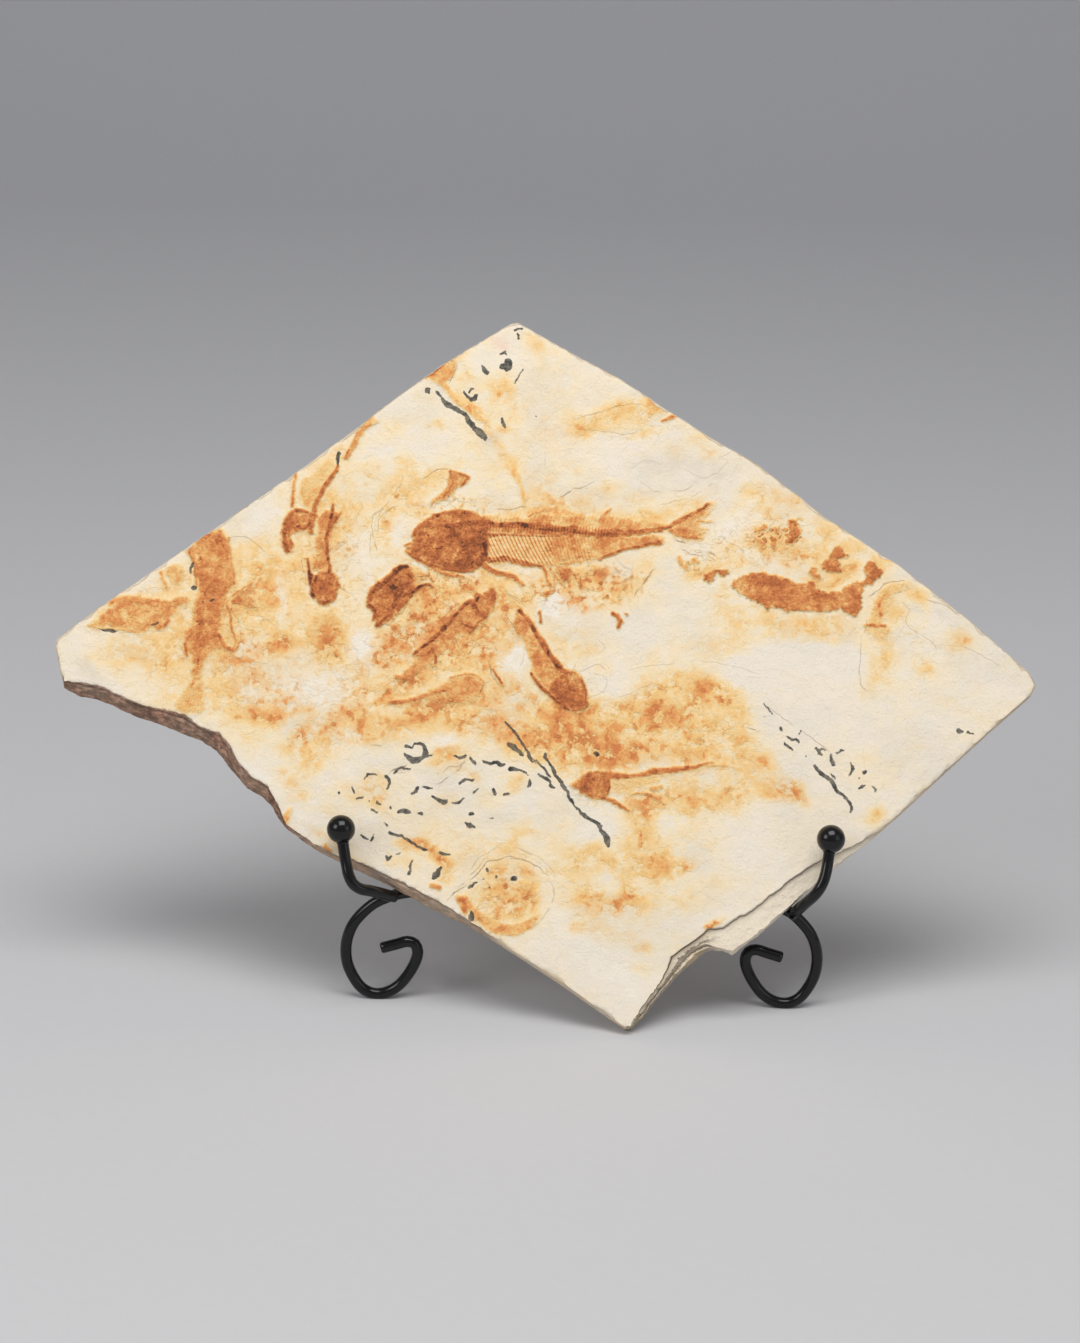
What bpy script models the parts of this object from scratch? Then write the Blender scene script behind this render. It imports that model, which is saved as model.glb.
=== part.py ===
"""Fossil fish slab leaning on a black wire stand.

The model is in metres, +Z is up, +X is the slab's right as its fish are looked at, and +Y runs
away from the face. Every length below is given in millimetres and scaled by MM where it is used.
The slab has its own frame: u runs to the right along the face, v up the face and w out of it,
with the origin at the front of the corner that the slab stands on.
"""
import math
import random

import bmesh
import bpy
from mathutils import Vector
from mathutils.geometry import delaunay_2d_cdt

MM = 0.001

# Driving dimensions
SLAB_THICKNESS = 6.0
SLAB_LEAN = math.radians(28.0)
ROD_RADIUS = 1.75
BALL_RADIUS = 4.3
STAND_CENTRE = -14.2            # u of the stand's middle
SCROLL_DEPTH = 26.5             # how far behind the slab's foot the scrolls stand
REAR_LEG_REACH = 126.0          # how far behind the slab's foot the rear leg ends
TOUCHING_GAP = 0.3              # clearance left between pieces that touch
FOOT_SINK = 0.4                 # how much of a rod is flattened where it stands on the floor
FOOT_LEVEL = ROD_RADIUS - FOOT_SINK

# Finish of the slab
SAWN_BEVEL = 0.5
BROKEN_ROUGHNESS = 0.28
BROKEN_SEED = 7

# Turned and swept pieces
ROUTE_STEP = 3.0                # between points along a wire
WIRE_BEVEL_RESOLUTION = 2
BALL_SEGMENTS = 20
BALL_RINGS = 12

# Cutters
FLOOR_BLOCK = 500.0
DRILL_LENGTH = 8.0

# Depths into the stone at which the edge is drawn, and how far out each kind of edge has come
# there: 0 is the line of the front bed, 1 the line of the back bed.
EDGE_DEPTHS = (0.0, 0.5, 1.4, 1.7, 2.7, 3.0, 4.4, SLAB_THICKNESS)
SAWN_PROFILE = (0.0, 1.0, 1.0, 1.0, 1.0, 1.0, 1.0, 1.0)
LEDGE_PROFILE = (0.0, 0.04, 0.1, 0.42, 0.5, 0.97, 1.0, 1.0)
FLARE_PROFILE = (0.0, 0.16, 0.3, 0.42, 0.55, 0.7, 0.86, 1.0)

# The slab's edge, anticlockwise from the corner it stands on. A broken stretch gives the
# (u, v) of the back bed and of the front bed, a sawn stretch only those of the back bed.
LEDGE_TO_RIGHT = (
    ((0.9, 0.0), (0.6, 0.6)),
    ((4.4, 3.7), (2.6, 3.8)),
    ((8.9, 9.8), (6.6, 9.8)),
    ((13.4, 15.0), (9.3, 14.0)),
    ((16.6, 18.6), (11.3, 17.5)),
    ((20.2, 21.4), (12.4, 21.6)),
    ((22.9, 24.0), (15.5, 24.2)),
    ((24.8, 24.8), (20.1, 27.7)),
    ((28.9, 24.4), (23.3, 30.5)),
    ((31.3, 23.4), (28.4, 31.6)),
    ((34.9, 26.5), (31.1, 33.9)),
    ((38.6, 29.0), (34.8, 35.4)),
    ((45.4, 35.4), (40.2, 39.7)),
    ((50.8, 40.2), (47.6, 45.5)),
    ((55.4, 44.5), (53.0, 50.0)),
    ((61.0, 49.4), (58.6, 53.4)),
    ((65.5, 53.4), (64.4, 55.8)),
)
SAWN_RIGHT = (
    (70.5, 57.4), (81.1, 66.8), (102.2, 87.2), (121.0, 104.6), (122.4, 107.4), (120.6, 111.3),
    (114.3, 116.7), (102.1, 127.3), (80.6, 143.9), (59.0, 157.5), (37.2, 174.3),
    (18.6, 184.9), (-6.4, 200.8), (-38.4, 218.0), (-40.4, 217.6),
)
SAWN_LEFT = (
    (-62.0, 203.6), (-74.1, 193.9), (-104.1, 169.8), (-128.1, 151.8), (-166.4, 123.3),
    (-176.6, 114.6), (-176.9, 112.5), (-175.1, 105.7),
)
FLARE_AT_LEFT = (
    ((-174.2, 100.6), (-173.6, 101.8)),
    ((-169.3, 98.0), (-167.3, 101.6)),
    ((-165.0, 97.6), (-163.0, 100.8)),
    ((-158.5, 95.2), (-156.5, 97.9)),
    ((-152.0, 92.2), (-149.4, 95.2)),
    ((-143.0, 89.6), (-141.4, 93.6)),
    ((-138.3, 87.5), (-136.6, 92.5)),
    ((-132.4, 85.6), (-131.2, 88.6)),
    ((-127.0, 82.3), (-125.7, 87.2)),
    ((-124.6, 79.4), (-122.4, 83.4)),
    ((-120.8, 75.0), (-119.2, 77.6)),
    ((-117.0, 70.8), (-115.6, 74.0)),
    ((-112.6, 68.6), (-110.4, 70.9)),
    ((-109.1, 65.2), (-108.3, 67.2)),
    ((-107.5, 61.9), (-106.4, 62.8)),
    ((-104.9, 58.8), (-104.4, 59.4)),
    ((-96.5, 53.0), (-96.0, 53.6)),
    ((-89.4, 49.3), (-88.8, 50.0)),
    ((-84.6, 47.2), (-83.6, 49.0)),
    ((-80.0, 45.2), (-79.0, 47.2)),
    ((-73.6, 42.3), (-72.4, 44.2)),
    ((-66.5, 38.8), (-65.4, 40.8)),
    ((-59.4, 35.0), (-58.4, 37.2)),
    ((-50.7, 31.2), (-50.0, 32.4)),
    ((-44.4, 27.9), (-44.0, 28.5)),
)
SAWN_TO_FOOT = ((-39.0, 24.7), (-20.7, 13.3), (-0.9, 0.0))
SLAB_MIDDLE = (-27.0, 105.0)

# Fossils that stand proud of the bed: middle line from snout to tail as (u, v), greatest half
# width and height of relief.
FISH = {
    "large": (
        (
            (-72.4, 146.3), (-62.0, 148.2), (-46.0, 147.6), (-28.0, 147.9),
            (-8.0, 150.0), (8.0, 153.2), (27.0, 156.2),
        ),
        9.8, 0.7,
    ),
    "upright": (
        ((-130.6, 149.4), (-130.0, 138.8), (-131.5, 128.5), (-133.0, 112.9), (-134.4, 98.4)),
        4.8, 0.45,
    ),
    "level": (((-136.5, 128.2), (-148.5, 125.9), (-158.6, 122.4), (-163.6, 119.6)), 4.2, 0.4),
    "curled": (((-104.3, 149.4), (-99.0, 157.6), (-92.5, 170.9), (-85.4, 181.6), (-80.4, 187.0)), 3.6, 0.45),
    "hanging": (((-95.4, 128.8), (-95.0, 138.0), (-94.5, 147.0), (-93.8, 155.4)), 3.8, 0.45),
    "short": (((-83.4, 128.4), (-76.0, 133.0), (-66.0, 139.2)), 4.6, 0.55),
    "slanting": (((-44.6, 132.4), (-53.7, 124.1), (-60.3, 117.8), (-70.6, 105.4)), 4.0, 0.4),
    "diving": (((-16.6, 99.6), (-24.0, 112.0), (-30.6, 121.0), (-36.6, 128.6)), 4.6, 0.5),
    "blunt": (((28.4, 138.0), (38.0, 135.4), (52.0, 132.6), (70.6, 129.2)), 5.0, 0.55),
    "faint": (((-20.5, 185.3), (-7.0, 188.1), (12.4, 190.5)), 3.0, 0.3),
    "lowest": (((-13.6, 74.8), (2.2, 77.2), (17.3, 79.6), (29.8, 81.8)), 3.2, 0.35),
}
# Along a fossil from the snout: share of its length, of its half width and of its height.
FISH_PROFILE = (
    (0.0, 0.2, 0.0), (0.03, 0.42, 0.7), (0.1, 0.82, 1.0), (0.2, 1.0, 1.0), (0.26, 0.98, 0.8),
    (0.42, 0.9, 0.75), (0.58, 0.7, 0.7), (0.72, 0.44, 0.65), (0.84, 0.2, 0.6), (0.9, 0.26, 0.5),
    (0.96, 0.6, 0.4), (1.0, 0.86, 0.0),
)
# Across a fossil: share of its half width, and share of its height.
FISH_SECTION = ((-1.0, 0.0), (-0.84, 0.62), (0.0, 1.0), (0.84, 0.62), (1.0, 0.0))

# A scroll, from its inner end round the foot and over the top, as distance from the stand's
# middle and height.
SCROLL = (
    (61.2, 16.3), (56.6, 17.7), (53.2, 18.7), (50.9, 17.9), (50.0, 15.6), (50.5, 12.6),
    (52.4, 8.6), (55.4, 4.5), (58.9, 2.1), (62.9, FOOT_LEVEL), (66.6, 2.9), (69.3, 6.3),
    (71.3, 10.8), (71.9, 15.7), (71.2, 20.4), (69.1, 25.0), (65.0, 29.6), (61.4, 32.0), (56.6, 33.9),
)
# The upright that follows it behind the slab, as distance from the stand's middle and v.
UPRIGHT = (
    (51.6, 40.8), (43.8, 42.4), (35.4, 46.8), (29.4, 54.6), (25.0, 66.0), (19.0, 83.0),
    (12.6, 102.0), (6.5, 121.0), (2.9, 134.0), (1.95, 142.0),
)
UPRIGHT_W = -8.1                # w of the uprights' middle line, just behind the slab

# Hooks from their weld on the scroll, under the slab's edge and up in front of it, as (u, v, w).
HOOKS = {
    "left": (
        (-70.9, 38.6, -5.4), (-72.9, 38.8, -3.8), (-75.8, 39.2, -1.0), (-78.5, 39.4, 1.8),
        (-81.3, 39.6, 4.0), (-83.5, 40.9, 5.2), (-84.9, 43.4, 5.6), (-85.7, 46.6, 5.6),
        (-86.4, 50.0, 5.9), (-87.3, 55.2, 7.0),
    ),
    "right": (
        (49.4, 36.2, -7.8), (51.0, 37.5, -3.2), (53.0, 39.1, 0.0), (55.1, 40.8, 3.0),
        (56.8, 43.0, 4.7), (58.0, 45.6, 5.2), (58.7, 48.5, 5.5), (59.1, 51.4, 5.9),
        (59.6, 55.6, 7.0),
    ),
}
BALLS = {"left": (-87.6, 57.1, 7.5), "right": (59.8, 57.6, 7.5)}

# The rear leg: up behind the uprights, as (v, w), then down to the floor, as (y, z).
REAR_LEG_ON_UPRIGHTS = (
    (124.0, -11.3), (134.0, -11.3), (141.5, -11.7), (146.4, -13.9), (147.8, -17.8), (145.2, -21.4),
)
REAR_LEG_DOWN = (
    (91.6, 105.0), (99.8, 65.0), (107.6, 26.0), (110.4, 13.0), (113.0, 5.4),
    (117.8, FOOT_LEVEL), (122.4, 2.4), (REAR_LEG_REACH, 5.6),
)

STONE = ("shale", (0.80, 0.69, 0.51, 1.0), 0.85, 0.0)
ENAMEL = ("black_enamel", (0.012, 0.012, 0.013, 1.0), 0.22, 0.0)


def clear_scene():
    for obj in list(bpy.data.objects):
        bpy.data.objects.remove(obj, do_unlink=True)


def new_collection(name):
    collection = bpy.data.collections.new(name)
    bpy.context.scene.collection.children.link(collection)
    return collection


def principled(finish, node_name):
    name, colour, roughness, metallic = finish
    material = bpy.data.materials.new(f"{name}_{node_name}")
    material.use_nodes = True
    shader = material.node_tree.nodes["Principled BSDF"]
    shader.inputs["Base Color"].default_value = colour
    shader.inputs["Roughness"].default_value = roughness
    shader.inputs["Metallic"].default_value = metallic
    material.diffuse_color = colour
    return material


def add_object(name, mesh, finish, parts, origin):
    mesh.materials.clear()
    mesh.materials.append(principled(finish, name))
    obj = bpy.data.objects.new(name, mesh)
    obj.parent = origin
    parts.objects.link(obj)
    return obj


def on_slab(u, v, w):
    """The place in the stand's frame of a point of the slab's frame."""
    lean_sin = math.sin(SLAB_LEAN)
    lean_cos = math.cos(SLAB_LEAN)
    return Vector((u, v * lean_sin - w * lean_cos, (SLAB_THICKNESS + w) * lean_sin + v * lean_cos))


def smooth_route(points, step):
    """Points about a step apart along the smooth curve through the given ones."""
    padded = [points[0] * 2 - points[1], *points, points[-1] * 2 - points[-2]]
    route = []
    for before, start, end, after in zip(padded, padded[1:], padded[2:], padded[3:]):
        count = max(1, round((end - start).length / step))
        for index in range(count):
            t = index / count
            route.append(0.5 * (
                2 * start
                + (end - before) * t
                + (2 * before - 5 * start + 4 * end - after) * t ** 2
                + (3 * start - before - 3 * end + after) * t ** 3
            ))
    route.append(points[-1])
    return route


# ---------------------------------------------------------------- the slab

def with_bevel(outline):
    """Pairs of back bed and front bed points for a sawn edge, whose front is bevelled."""
    middle = Vector(SLAB_MIDDLE)
    pairs = []
    for point in outline:
        point = Vector(point)
        pairs.append((point, point + (middle - point).normalized() * SAWN_BEVEL))
    return pairs


def edge_stretches():
    return (
        (LEDGE_TO_RIGHT, LEDGE_PROFILE, 2, BROKEN_ROUGHNESS),
        (with_bevel(SAWN_RIGHT), SAWN_PROFILE, 1, 0.0),
        (with_bevel(SAWN_LEFT), SAWN_PROFILE, 1, 0.0),
        (FLARE_AT_LEFT, FLARE_PROFILE, 2, BROKEN_ROUGHNESS),
        (with_bevel(SAWN_TO_FOOT), SAWN_PROFILE, 1, 0.0),
    )


def subdivided(pairs, pieces):
    """The pairs with each gap between them split into so many pieces."""
    result = []
    for (back, front), (next_back, next_front) in zip(pairs, pairs[1:]):
        for index in range(pieces):
            t = index / pieces
            result.append((
                Vector(back).lerp(Vector(next_back), t),
                Vector(front).lerp(Vector(next_front), t),
            ))
    result.append((Vector(pairs[-1][0]), Vector(pairs[-1][1])))
    return result


def slab_loops():
    """One closed loop of (u, v, w) for each depth of the edge profiles."""
    chance = random.Random(BROKEN_SEED)
    loops = [[] for _ in EDGE_DEPTHS]
    for pairs, profile, pieces, roughness in edge_stretches():
        points = subdivided(pairs, pieces)
        for place, (back, front) in enumerate(points):
            inner_point = 0 < place < len(points) - 1
            for loop, depth, reach in zip(loops, EDGE_DEPTHS, profile):
                point = front.lerp(back, reach)
                if inner_point and roughness:
                    point += Vector((chance.uniform(-1, 1), chance.uniform(-1, 1))) * roughness
                loop.append(Vector((point.x, point.y, -depth)))
    return loops


def point_along(line, share):
    """The point at a share of the line's length, and the line's direction there."""
    points = [Vector(point) for point in line]
    lengths = [(end - start).length for start, end in zip(points, points[1:])]
    remaining = share * sum(lengths)
    for start, end, length in zip(points, points[1:], lengths):
        if remaining <= length:
            break
        remaining -= length
    direction = (end - start).normalized()
    return start + direction * min(remaining, length), direction


def fossil_points():
    """Points (u, v, w) on the low lenses that the fossils form on the front face."""
    points = []
    for line, half_width, height in FISH.values():
        for share, width_share, height_share in FISH_PROFILE:
            centre, direction = point_along(line, share)
            across = Vector((-direction.y, direction.x)) * half_width * width_share
            for side, rise in FISH_SECTION:
                place = centre + across * side
                points.append(Vector((place.x, place.y, rise * height * height_share)))
    return points


def slab_body():
    """The slab as a loft through its loops, closed by a flat back and a face with fossils."""
    loops = slab_loops()
    count = len(loops[0])
    body = bmesh.new()
    rings = [[body.verts.new(point * MM) for point in loop] for loop in loops]
    for upper, lower in zip(rings, rings[1:]):
        for index in range(count):
            following = (index + 1) % count
            body.faces.new((upper[index], lower[index], lower[following], upper[following]))
    body.faces.new(reversed(rings[-1]))
    raised = fossil_points()
    flat = [point.xy for point in loops[0] + raised]
    _, _, triangles, sources, _, _ = delaunay_2d_cdt(flat, [], [list(range(count))], 1, 1e-6)
    front = rings[0] + [body.verts.new(point * MM) for point in raised]
    for triangle in triangles:
        body.faces.new([front[sources[corner][0]] for corner in triangle])
    bmesh.ops.delete(body, geom=[vert for vert in body.verts if not vert.link_faces], context="VERTS")
    bmesh.ops.triangulate(body, faces=[face for face in body.faces if len(face.verts) > 4])
    bmesh.ops.recalc_face_normals(body, faces=body.faces)
    mesh = bpy.data.meshes.new("slab")
    body.to_mesh(mesh)
    body.free()
    return mesh


def build_slab(parts, origin):
    slab = add_object("slab", slab_body(), STONE, parts, origin)
    slab.location = on_slab(0, 0, 0) * MM
    slab.rotation_euler = (math.pi / 2 - SLAB_LEAN, 0, 0)


# ---------------------------------------------------------------- the stand

def wire_mesh(name, points, cutters):
    """A round rod along the points, closed at both ends, as a mesh."""
    curve = bpy.data.curves.new(name, "CURVE")
    curve.dimensions = "3D"
    curve.bevel_depth = ROD_RADIUS * MM
    curve.bevel_resolution = WIRE_BEVEL_RESOLUTION
    curve.use_fill_caps = True
    spline = curve.splines.new("POLY")
    spline.points.add(len(points) - 1)
    for spline_point, point in zip(spline.points, points):
        spline_point.co = (*(point * MM), 1.0)
    rod = bpy.data.objects.new(name, curve)
    cutters.objects.link(rod)
    depsgraph = bpy.context.evaluated_depsgraph_get()
    mesh = bpy.data.meshes.new_from_object(rod.evaluated_get(depsgraph))
    bpy.data.objects.remove(rod)
    welded = bmesh.new()
    welded.from_mesh(mesh)
    bmesh.ops.remove_doubles(welded, verts=welded.verts, dist=0.01 * MM)
    bmesh.ops.recalc_face_normals(welded, faces=welded.faces)
    welded.to_mesh(mesh)
    welded.free()
    mesh.shade_smooth()
    return mesh


def add_wire(name, points, parts, cutters, origin):
    route = smooth_route(points, ROUTE_STEP)
    return add_object(name, wire_mesh(name, route, cutters), ENAMEL, parts, origin)


def floor_cutter(cutters, origin):
    """A block whose top is the floor."""
    block = bmesh.new()
    bmesh.ops.create_cube(block, size=FLOOR_BLOCK * MM)
    bmesh.ops.translate(block, verts=block.verts, vec=(0, 0, -FLOOR_BLOCK / 2 * MM))
    return add_cutter("floor_cutter", block, cutters, origin)


def add_cutter(name, shape, cutters, origin):
    """An object that only cuts others, from a bmesh that it uses up."""
    mesh = bpy.data.meshes.new(name)
    shape.to_mesh(mesh)
    shape.free()
    cutter = bpy.data.objects.new(name, mesh)
    cutter.parent = origin
    cutter.hide_render = True
    cutter.display_type = "WIRE"
    cutters.objects.link(cutter)
    return cutter


def cut_away(obj, cutter):
    cut = obj.modifiers.new(cutter.name, "BOOLEAN")
    cut.operation = "DIFFERENCE"
    cut.object = cutter


def build_scroll_leg(side, parts, cutters, origin, floor):
    """A scroll foot that runs over its top into the upright behind the slab."""
    direction = -1 if side == "left" else 1
    points = [Vector((STAND_CENTRE + direction * out, SCROLL_DEPTH, height)) for out, height in SCROLL]
    points += [on_slab(STAND_CENTRE + direction * out, v, UPRIGHT_W) for out, v in UPRIGHT]
    leg = add_wire(f"{side}_scroll_leg", points, parts, cutters, origin)
    cut_away(leg, floor)


def build_rear_leg(parts, cutters, origin, floor):
    points = [on_slab(STAND_CENTRE, v, w) for v, w in REAR_LEG_ON_UPRIGHTS]
    points += [Vector((STAND_CENTRE, y, z)) for y, z in REAR_LEG_DOWN]
    leg = add_wire("rear_leg", points, parts, cutters, origin)
    cut_away(leg, floor)


def build_hook(side, parts, cutters, origin):
    points = [on_slab(*point) for point in HOOKS[side]]
    add_wire(f"{side}_hook", points, parts, cutters, origin)


def build_ball(side, parts, cutters, origin):
    """The ball on a hook's end, with the blind hole that the hook's end sits in."""
    name = f"{side}_ball"
    sphere = bmesh.new()
    bmesh.ops.create_uvsphere(
        sphere, u_segments=BALL_SEGMENTS, v_segments=BALL_RINGS, radius=BALL_RADIUS * MM,
    )
    mesh = bpy.data.meshes.new(name)
    sphere.to_mesh(mesh)
    sphere.free()
    mesh.shade_smooth()
    ball = add_object(name, mesh, ENAMEL, parts, origin)
    ball.location = on_slab(*BALLS[side]) * MM
    before_end = on_slab(*HOOKS[side][-2])
    hook_end = on_slab(*HOOKS[side][-1])
    hole_radius = (ROD_RADIUS + TOUCHING_GAP) * MM
    drill = bmesh.new()
    bmesh.ops.create_cone(
        drill, cap_ends=True, segments=BALL_SEGMENTS,
        radius1=hole_radius, radius2=hole_radius, depth=DRILL_LENGTH * MM,
    )
    bmesh.ops.translate(drill, verts=drill.verts, vec=(0, 0, (TOUCHING_GAP - DRILL_LENGTH / 2) * MM))
    hole = add_cutter(f"{name}_hole", drill, cutters, origin)
    hole.location = hook_end * MM
    hole.rotation_euler = (hook_end - before_end).to_track_quat("Z", "X").to_euler()
    cut_away(ball, hole)


def main():
    clear_scene()
    parts = new_collection("fossil_fish_slab")
    cutters = new_collection("fossil_fish_slab_cutters")
    origin = bpy.data.objects.new("under_the_middle", None)
    middle_u = (SAWN_LEFT[-2][0] + SAWN_RIGHT[4][0]) / 2
    origin.location = (-middle_u * MM, -REAR_LEG_REACH / 2 * MM, 0)
    parts.objects.link(origin)
    floor = floor_cutter(cutters, origin)
    build_slab(parts, origin)
    for side in ("left", "right"):
        build_scroll_leg(side, parts, cutters, origin, floor)
        build_hook(side, parts, cutters, origin)
        build_ball(side, parts, cutters, origin)
    build_rear_leg(parts, cutters, origin, floor)


main()
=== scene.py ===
"""Looks of the fossil fish slab and its black wire stand.

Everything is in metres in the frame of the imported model. Lengths in the tables below are in
millimetres. The slab has its own frame: u runs to the right along the face, v up the face and
w out of it, with the origin at the front of the corner that the slab stands on.
"""
import math

import bpy
import numpy as np
from mathutils import Matrix, Vector
from mathutils.geometry import delaunay_2d_cdt

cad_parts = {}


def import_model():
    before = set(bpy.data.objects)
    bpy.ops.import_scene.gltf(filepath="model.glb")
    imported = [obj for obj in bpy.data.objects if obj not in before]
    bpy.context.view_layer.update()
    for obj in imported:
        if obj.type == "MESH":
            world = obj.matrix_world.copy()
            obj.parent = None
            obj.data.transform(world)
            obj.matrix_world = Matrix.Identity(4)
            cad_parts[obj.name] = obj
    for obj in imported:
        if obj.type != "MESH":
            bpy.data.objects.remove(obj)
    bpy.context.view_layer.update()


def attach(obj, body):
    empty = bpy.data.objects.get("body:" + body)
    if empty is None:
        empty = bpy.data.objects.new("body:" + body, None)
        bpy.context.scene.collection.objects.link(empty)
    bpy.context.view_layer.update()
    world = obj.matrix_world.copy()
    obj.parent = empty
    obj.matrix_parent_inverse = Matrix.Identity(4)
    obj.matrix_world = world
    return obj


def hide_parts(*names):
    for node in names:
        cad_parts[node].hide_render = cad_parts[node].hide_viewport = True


MM = 0.001

# Driving dimensions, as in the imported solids
SLAB_THICKNESS = 6.0
SLAB_LEAN = math.radians(28.0)
ROD_RADIUS = 1.75
BALL_RADIUS = 4.3
STAND_CENTRE = -14.2
SCROLL_DEPTH = 26.5
REAR_LEG_REACH = 126.0
FOOT_LEVEL = 1.35
FRAME_OFFSET = Vector((27.25, -63.0, 0.0))

# Depths into the stone at which the edge is drawn, and how far out each kind of edge has come
# there: 0 is the line of the front bed, 1 the line of the back bed.
EDGE_DEPTHS = (0.0, 0.15, 0.5, 0.9, 1.35, 1.5, 1.75, 2.2, 2.65, 2.85, 3.05, 3.6, 4.3, 5.0, 5.6, 6.0)
SAWN_EDGE = ((0.0, 0.5, 6.0), (0.0, 1.0, 1.0))
LEDGE_EDGE = (
    (0.0, 0.5, 0.9, 1.35, 1.5, 2.2, 2.65, 2.85, 3.6, 4.3, 6.0),
    (0.0, 0.04, 0.07, 0.1, 0.36, 0.42, 0.48, 0.76, 0.82, 0.97, 1.0),
)
TOE_EDGE = ((0.0, 0.5, 1.35, 1.75, 6.0), (0.0, 0.04, 0.08, 0.93, 1.0))
TOE_START = (22.0, 29.0)
FLARE_EDGE = ((0.0, 0.5, 1.4, 1.7, 2.7, 3.0, 4.4, 6.0), (0.0, 0.16, 0.3, 0.42, 0.55, 0.7, 0.86, 1.0))
SAWN_BEVEL = 0.5
SAWN_STEP = 1.1
BROKEN_STEP = 0.45

# How far the plain front bed lies below the plane that the bones may reach
FACE_SINK = 0.35

# Spacing of the points on the two faces
FINE_PITCH = 0.42
BACK_PITCH = 3.4
# Boxes of the face, low and high corner (u, v), that need the finest and the widest spacing
LARGE_FISH_BOX = ((-73.0, 139.5), (13.0, 158.5))
PLAIN_BOXES = (
    ((24.0, 56.0), (200.0, 119.0)), ((-30.0, -9.0), (200.0, 36.0)), ((-30.0, 172.0), (200.0, 200.0)),
)

# Noise in the edge and the face, each layer as (amount, lump, seed), all but the seed in millimetres
TORN_EDGE = ((0.34, 2.6, 41),)
TORN_GRAIN = ((0.2, 0.9, 42),)
FLARE_LUMPS = ((0.3, 1.7, 43), (0.14, 0.7, 44))
SAW_MARKS = ((0.1, 7.0, 45),)
ROLLING = ((0.13, 38.0, 61), (0.06, 13.0, 62))
GRAIN = ((0.05, 3.2, 63), (0.03, 1.3, 64))
BODY_LUMPS = ((0.16, 2.2, 65),)
BONE_LUMPS = ((0.1, 1.2, 67),)
STAIN_LUMPS = ((0.07, 2.0, 66),)
# How each kind of mark is frayed, in layers of (lump, amount, seed)
FRAYS = {
    "patch": ((3.1, 0.5, 11), (1.2, 0.42, 13)),
    "bone": ((3.1, 0.3, 11), (1.1, 0.2, 13)),
    "stain": ((9.0, 1.6, 21), (3.0, 0.9, 23)),
    "cloud": ((9.0, 1.8, 51), (3.0, 0.9, 53)),
    "thread": ((5.0, 0.7, 41), (1.4, 0.25, 43)),
    "soot": ((2.4, 0.35, 33), (0.9, 0.25, 31)),
}
# The depths at which one bed of the edge gives way to the next, and how far out noise may push it
BED_JOINTS = (1.45, 2.75)
MOST_OUTWARD = 0.12

# Spacing along outlines and bones, how far from a point its marks are looked for, what counts as
# far away, and how much wider than its route a dendrite is drawn
ROUTE_STEP = 1.5
MARK_REACH = 2.5
FAR = 9.0
SOOT_SPREAD = 1.32

# The slab's edge, anticlockwise from the corner it stands on. A broken stretch gives the
# (u, v) of the back bed and of the front bed, a sawn stretch only those of the back bed.
LEDGE_TO_RIGHT = (
    ((0.9, 0.0), (0.6, 0.6)),
    ((4.4, 3.7), (2.6, 3.8)),
    ((8.9, 9.8), (6.6, 9.8)),
    ((13.4, 15.0), (9.3, 14.0)),
    ((16.6, 18.6), (11.3, 17.5)),
    ((20.2, 21.4), (12.4, 21.6)),
    ((22.9, 24.0), (15.5, 24.2)),
    ((24.8, 24.8), (20.1, 27.7)),
    ((28.9, 24.4), (23.3, 30.5)),
    ((31.3, 23.4), (28.4, 31.6)),
    ((34.9, 26.5), (31.1, 33.9)),
    ((38.6, 29.0), (34.8, 35.4)),
    ((45.4, 35.4), (40.2, 39.7)),
    ((50.8, 40.2), (47.6, 45.5)),
    ((55.4, 44.5), (53.0, 50.0)),
    ((61.0, 49.4), (58.6, 53.4)),
    ((65.5, 53.4), (64.2, 55.4)),
    ((70.5, 57.4), (69.6, 58.5)),
)
SAWN_RIGHT = (
    (76.0, 62.3), (81.1, 66.8), (102.2, 87.2), (121.0, 104.6), (122.4, 107.4), (120.6, 111.3),
    (114.3, 116.7), (102.1, 127.3), (80.6, 143.9), (59.0, 157.5), (37.2, 174.3),
    (18.6, 184.9), (-6.4, 200.8), (-38.4, 218.0), (-40.4, 217.6),
)
SAWN_LEFT = (
    (-62.0, 203.6), (-74.1, 193.9), (-104.1, 169.8), (-128.1, 151.8), (-166.4, 123.3),
    (-176.6, 114.6), (-176.9, 112.5), (-175.1, 105.7),
)
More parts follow.
